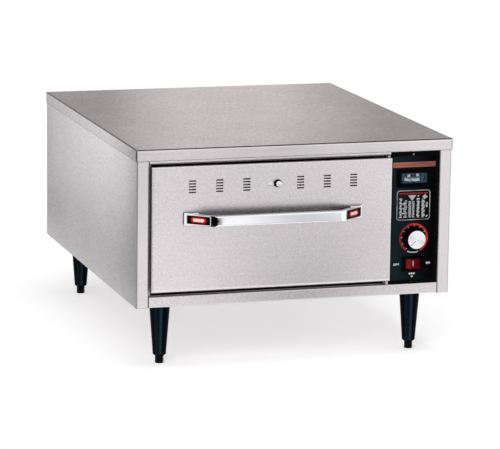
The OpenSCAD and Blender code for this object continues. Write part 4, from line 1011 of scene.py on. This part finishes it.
class WARMER_OT_handle_badges(WarmerOperator, bpy.types.Operator):
    """Set a rim, a plain red boss and a pale bar into each black plate of the handle"""

    bl_idname = "warmer.handle_badges"
    bl_label = "Handle Badges"

    def execute(self, context):
        mesh = frame["nodes"]["handle_plates"].data
        points = np.empty(len(mesh.vertices) * 3)
        mesh.vertices.foreach_get("co", points)
        points = points.reshape(-1, 3)
        split = middle_of("handle_plates").x
        up = np.array([0.0, 0.0, 1.0])
        red = smooth_coat("Badge Red", (0.80, 0.012, 0.010), 0.4, 0.08)
        pale = smooth_coat("Badge Pale", (0.97, 0.89, 0.82), 0.5, 0.1)
        bright = polished("Plate Rim", (0.86, 0.86, 0.88), 0.3)
        shaded_rim = polished("Plate Rim Shaded", (0.22, 0.21, 0.20), 0.35)
        # the right plate's rim is a darker copy of the left one's: painted shade
        for side, name, rim in ((-1, "left", bright), (1, "right", shaded_rim)):
            plate = points[(points[:, 0] - split) * side > 0]
            low, high = plate.min(0), plate.max(0)
            # the plate's long way, from its outer corner at the drawer to its inner one
            slope = math.atan2(high[1] - low[1], high[0] - low[0])
            across = np.array([math.cos(slope), side * math.sin(slope), 0.0])
            out = np.array([across[1], -across[0], 0.0])
            along, height = plate @ across, high[2] - low[2]
            origin = (across * (along.min() + along.max()) / 2 + out * (plate @ out).max()
                      + up * (low[2] + high[2]) / 2)
            outline = round_path(along.max() - along.min(), height, 1.6 * MM)
            tube, faces = rim_tube(outline, 0.75 * MM)
            verts = origin + tube @ np.stack([across, up, out])
            make_object(f"plate_rim_{name}", verts, faces, rim, "drawer", "chrome", True)
            for kind, size, material, lift in (
                ("badge", (29.0, 9.6), red, 0.0),
                ("badge_bar", (21.0, 5.4), pale, 0.42),
            ):
                outline = round_path(size[0] * MM, size[1] * MM, size[1] / 2.05 * MM)
                boss = pillow(outline, origin + out * lift * MM, across, up, out, 0.5 * MM)
                make_object(f"{kind}_{name}", *boss, material, "drawer", "gloss_black", True)
        return {"FINISHED"}


class WARMER_OT_screw_recesses(WarmerOperator, bpy.types.Operator):
    """Paint shade into the cross recesses of the screws on the panel and on the back, and a glint
    on the upper panel screw
    """

    bl_idname = "warmer.screw_recesses"
    bl_label = "Screw Recesses"

    def crosses(self, centres, span, back, ink):
        """Two crossed plates on each screw head, turned a little from one head to the next."""
        both = np.repeat(centres, 2, 0)
        turn = 0.5 + 0.9 * np.arange(len(centres))
        turns = np.stack([turn, turn + math.pi / 2], 1).ravel()
        return plates(both, np.full((len(both), 2), [span, span * 0.22]), turns, back, ink)

    def execute(self, context):
        # the dark crosses are painted shade in the recesses
        dark = smooth_coat("Recess Shade", (0.02, 0.02, 0.02), 0.6, 0.2)
        painted_highlight = polished("Screw Glint", (0.42, 0.42, 0.43), 0.3)
        low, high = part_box("panel_screws")
        r = (high.x - low.x) / 2
        # the upper panel screw gets a painted glint, the lower one painted shade
        for name, z, material in (("upper", high.z - r, painted_highlight), ("lower", low.z + r, dark)):
            cross = self.crosses(np.array([[low.x + r, z]]), 1.4 * r, low.y + 0.02 * MM, 0.04 * MM)
            make_object(f"panel_cross_{name}", *cross, material, "case", "black_paint")
        low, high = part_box("back_screws")
        r = 3.5 * MM
        x, z = np.meshgrid([low.x + r, high.x - r], np.linspace(low.z + r, high.z - r, 4))
        centres = np.stack([x.ravel(), z.ravel()], 1)
        cross = self.crosses(centres, 1.3 * r, high.y + 0.03 * MM, 0.05 * MM)
        make_object("back_screw_cross", *cross, dark, "case", "plain_sheet")
        return {"FINISHED"}


# --------------------------------------------------------------------- studio


WHITE = (1, 1, 1, 1)


def seen_directly(tree):
    """1 for camera, glossy and transmission rays, 0 for the rest."""
    path = add_node(tree, "LightPath").outputs
    total = path["Is Camera Ray"]
    for ray in ("Is Glossy Ray", "Is Transmission Ray"):
        total = add_node(tree, "Math", {0: total, 1: path[ray]}, operation="MAXIMUM").outputs[0]
    return total


def mixed(tree, share, first, second):
    """The first shader where the share is 0, the second where it is 1."""
    return add_node(tree, "MixShader", {"Fac": share, 1: first.outputs[0], 2: second.outputs[0]})


def stage_sheet(name, corner, u, v, material):
    """One four-sided sheet of the studio: corner, corner + u, corner + u + v, corner + v."""
    corner, u, v = (np.asarray(part, float) for part in (corner, u, v))
    corners = np.stack([corner, corner + u, corner + u + v, corner + v])
    mesh = bpy.data.meshes.new(name)
    mesh.from_pydata(corners.tolist(), [], [(0, 1, 2, 3)])
    layer = mesh.uv_layers.new(name="sheet")
    layer.data.foreach_set("uv", [0, 0, 1, 0, 1, 1, 0, 1])
    mesh.materials.append(material)
    piece = bpy.data.objects.new(name, mesh)
    bpy.context.scene.collection.objects.link(piece)
    return piece


def flag_material(name, tone, soft):
    """A flag's tone, which fades out towards its edges: the fade along each side is
    (1 - |2u - 1|) / soft, held between 0 and 1."""
    finish = Finish(name, tone, 1.0)
    parts = finish.axes(finish.node("UVMap", uv_map="sheet").outputs["UV"])

    def fade(value, width):
        inner = finish.size(finish.math("SUBTRACT", finish.times(value, 2.0), 1.0))
        return finish.times(finish.math("SUBTRACT", 1.0, inner), 1.0 / width, clamp=True)

    cover = finish.times(fade(parts["X"], soft[0]), fade(parts["Y"], soft[1]))
    clear, glow = finish.node("BsdfTransparent"), finish.node("Emission", {"Color": (*tone, 1)})
    finish.show(mixed(finish.tree, cover, clear, glow))
    finish.tree.nodes.remove(finish.shader)
    return finish.material


class WARMER_OT_stage(WarmerOperator, bpy.types.Operator):
    """Set up the floor, the flags, the lights, the surroundings and the camera"""

    bl_idname = "warmer.stage"
    bl_label = "Stage"

    # flags that only reflections see: corner, side u, side v, level, and how much of each
    # half side fades out
    FLAGS = {
        "glow_left": ((-0.26, -2.6, 0.004), (0.58, 0, 0), (0, 1.5, 0), 1.20, (0.6, 0.4)),
        "flag_front_far": ((0.10, -2.9, 0.006), (0.62, 0, 0), (0, 1.0, 0), 0.80, (0.9, 0.4)),
        "flag_front_right": ((0.29, -2.2, 0.007), (0.27, 0, 0), (0, 1.0, 0), 0.70, (0.8, 0.3)),
        "flag_front_near": ((0.13, -1.60, 0.008), (0.42, 0, 0), (0, 0.70, 0), 0.48, (0.9, 0.5)),
        "flag_front_rail": ((-0.06, -0.98, 0.009), (0.42, 0, 0), (0, 0.46, 0), 0.42, (0.8, 0.5)),
        "flag_front_left": (
            (-0.663, -0.626, 0.006), (-1.161, -0.689, 0), (0.62, -1.1, 0), 0.002, (0.15, 0.012)),
        "flag_bend": (
            (-0.36, -1.82, 0.010), (0.6416, 0, 0), (-0.078, 0.26, 0), 0.002, (0.008, 0.08)),
        "flag_side": ((-0.74, -0.25, 0.006), (0.45, 0, 0), (0, 2.9, 0), 0.45, (0.8, 0.12)),
        "flag_side_near": ((-0.56, 0.02, 0.0), (0.178, 0, 0), (0, 0, 0.42), 0.17, (0.12, 0.04)),
        "flag_side_far": ((-0.480, 1.0, 0.0), (0.10, 0, 0), (0, 0, 0.5), 0.29, (0.4, 0.1)),
        "flag_rear_left": ((-0.42, 1.6, 0.0), (0.79, 0, 0), (0, 0, 1.5), 0.40, (0.56, 0.4)),
        "flag_rear_mid": ((0.24, 1.62, 0.0), (0.60, 0, 0), (0, 0, 1.5), 0.75, (0.5, 0.4)),
        "flag_rear_right": ((0.57, 1.6, 0.0), (1.9, 0, 0), (0, 0, 1.5), 0.40, (0.27, 0.4)),
        "flag_rear_high": ((-3.0, 3.2, 1.5), (6.0, 0, 0), (0, 0, 2.6), 0.10, (0.2, 0.25)),
        "glow_right": ((0.85, -1.7, 0.006), (0.9, 0, 0), (0, 1.3, 0), 1.7, (0.5, 0.5)),
    }

    REAR_WARMTH = (1.02, 0.955, 0.95)
    CAMERA = (-1.55791, -5.10697, 1.24115)

    def execute(self, context):
        scene = context.scene
        self.make_world(scene)
        self.make_floor()
        for name, (corner, u, v, level, soft) in self.FLAGS.items():
            warmth = self.REAR_WARMTH if "rear" in name else (1.0, 1.0, 1.0)
            tone = [level * part for part in warmth]
            flag = stage_sheet(name, corner, u, v, flag_material(name, tone, soft))
            flag.visible_camera = flag.visible_diffuse = flag.visible_shadow = False
            flag.visible_transmission = False
        self.make_lights(scene)
        self.make_camera(scene)
        scene.view_settings.view_transform = "Standard"
        return {"FINISHED"}

    def make_world(self, scene):
        world = bpy.data.worlds.new("Studio")
        scene.world = world
        world.use_nodes = True
        tree = world.node_tree
        tree.nodes.clear()
        soft = add_node(tree, "Background", {"Color": WHITE, "Strength": self.studio.ambient})
        white = add_node(tree, "Background", {"Color": WHITE})
        sky = mixed(tree, seen_directly(tree), soft, white)
        add_node(tree, "OutputWorld", {"Surface": sky.outputs[0]})

    def make_floor(self):
        """Pale floor that keeps the object's shadow: where it is seen it adds a plain glow,
        and beyond a metre or so it is the white of the surroundings."""
        floor = Finish("Floor", (0.86, 0.86, 0.86), 0.9, 0.0, 0.0)
        seen = seen_directly(floor.tree)
        glow = floor.node("Emission", {"Strength": floor.times(seen, self.studio.glow)})
        near = floor.node("AddShader", {0: floor.shader.outputs[0], 1: glow.outputs[0]})
        reach = floor.node("VectorMath", {0: floor.coords()}, operation="LENGTH").outputs["Value"]
        far = floor.times(floor.spread(reach, 0.0, 1.0, 0.45, 0.85), seen, clamp=True)
        floor.show(mixed(floor.tree, far, near, floor.node("Emission")))
        half = 14
        stage_sheet("floor", (-half, -half, 0), (2 * half, 0, 0), (0, 2 * half, 0), floor.material)

    def make_lights(self, scene):
        target = Vector((0, 0, 0.25))
        for name, place, size, power in (
            ("key", (-1.9, -3.0, 2.6), (2.2, 2.2), self.studio.key_power),
            ("side", (3.2, -1.6, 1.8), (1.4, 1.8), self.studio.fill_power),
            ("overhead", (0.2, -0.4, 3.4), (1.8, 1.8), self.studio.top_power),
        ):
            lamp = bpy.data.lights.new(name, "AREA")
            lamp.shape = "RECTANGLE"
            lamp.size, lamp.size_y = size
            lamp.energy = power
            obj = bpy.data.objects.new(name, lamp)
            obj.visible_glossy = False
            obj.location = place
            obj.rotation_euler = (target - Vector(place)).to_track_quat("-Z", "Y").to_euler()
            scene.collection.objects.link(obj)

    def make_camera(self, scene):
        camera = bpy.data.cameras.new("camera")
        camera.sensor_width = 36.0
        camera.sensor_fit = "HORIZONTAL"
        camera.lens = self.studio.lens
        camera.clip_end = 100.0
        obj = bpy.data.objects.new("camera", camera)
        aim = Euler((math.pi / 2 - self.studio.pitch, 0, self.studio.yaw), "XYZ").to_matrix()
        turn = aim @ Matrix.Rotation(self.studio.roll, 3, "Z")
        obj.matrix_world = Matrix.Translation(self.CAMERA) @ turn.to_4x4()
        scene.collection.objects.link(obj)
        scene.camera = obj


OPERATORS = (
    WARMER_OT_case_finish, WARMER_OT_trim_finish, WARMER_OT_control_finish,
    WARMER_OT_panel_band, WARMER_OT_panel_card, WARMER_OT_dial_ring, WARMER_OT_knob_pointer,
    WARMER_OT_switch_words, WARMER_OT_thermometer_print, WARMER_OT_switch_line,
    WARMER_OT_vent_face, WARMER_OT_handle_badges, WARMER_OT_screw_recesses, WARMER_OT_stage,
)


class WARMER_PT_panel(bpy.types.Panel):
    """Lists the settings and the pieces"""

    bl_idname = "WARMER_PT_panel"
    bl_label = "Warming Drawer"
    bl_space_type = "VIEW_3D"
    bl_region_type = "UI"
    bl_category = "Warming Drawer"

    def draw(self, context):
        for group, kind in SETTINGS.items():
            box = self.layout.box()
            for name in kind.__annotations__:
                box.prop(getattr(context.scene, group), name)
        for operator in OPERATORS:
            self.layout.operator(operator.bl_idname)


CLASSES = (*SETTINGS.values(), *OPERATORS, WARMER_PT_panel)


def register():
    for cls in CLASSES:
        bpy.utils.register_class(cls)
    for group, kind in SETTINGS.items():
        setattr(bpy.types.Scene, group, PointerProperty(type=kind))


def unregister():
    for group in SETTINGS:
        delattr(bpy.types.Scene, group)
    for cls in reversed(CLASSES):
        bpy.utils.unregister_class(cls)


def main():
    register()
    for operator in OPERATORS:
        space, name = operator.bl_idname.split(".")
        getattr(getattr(bpy.ops, space), name)()


if __name__ == "__main__":
    main()
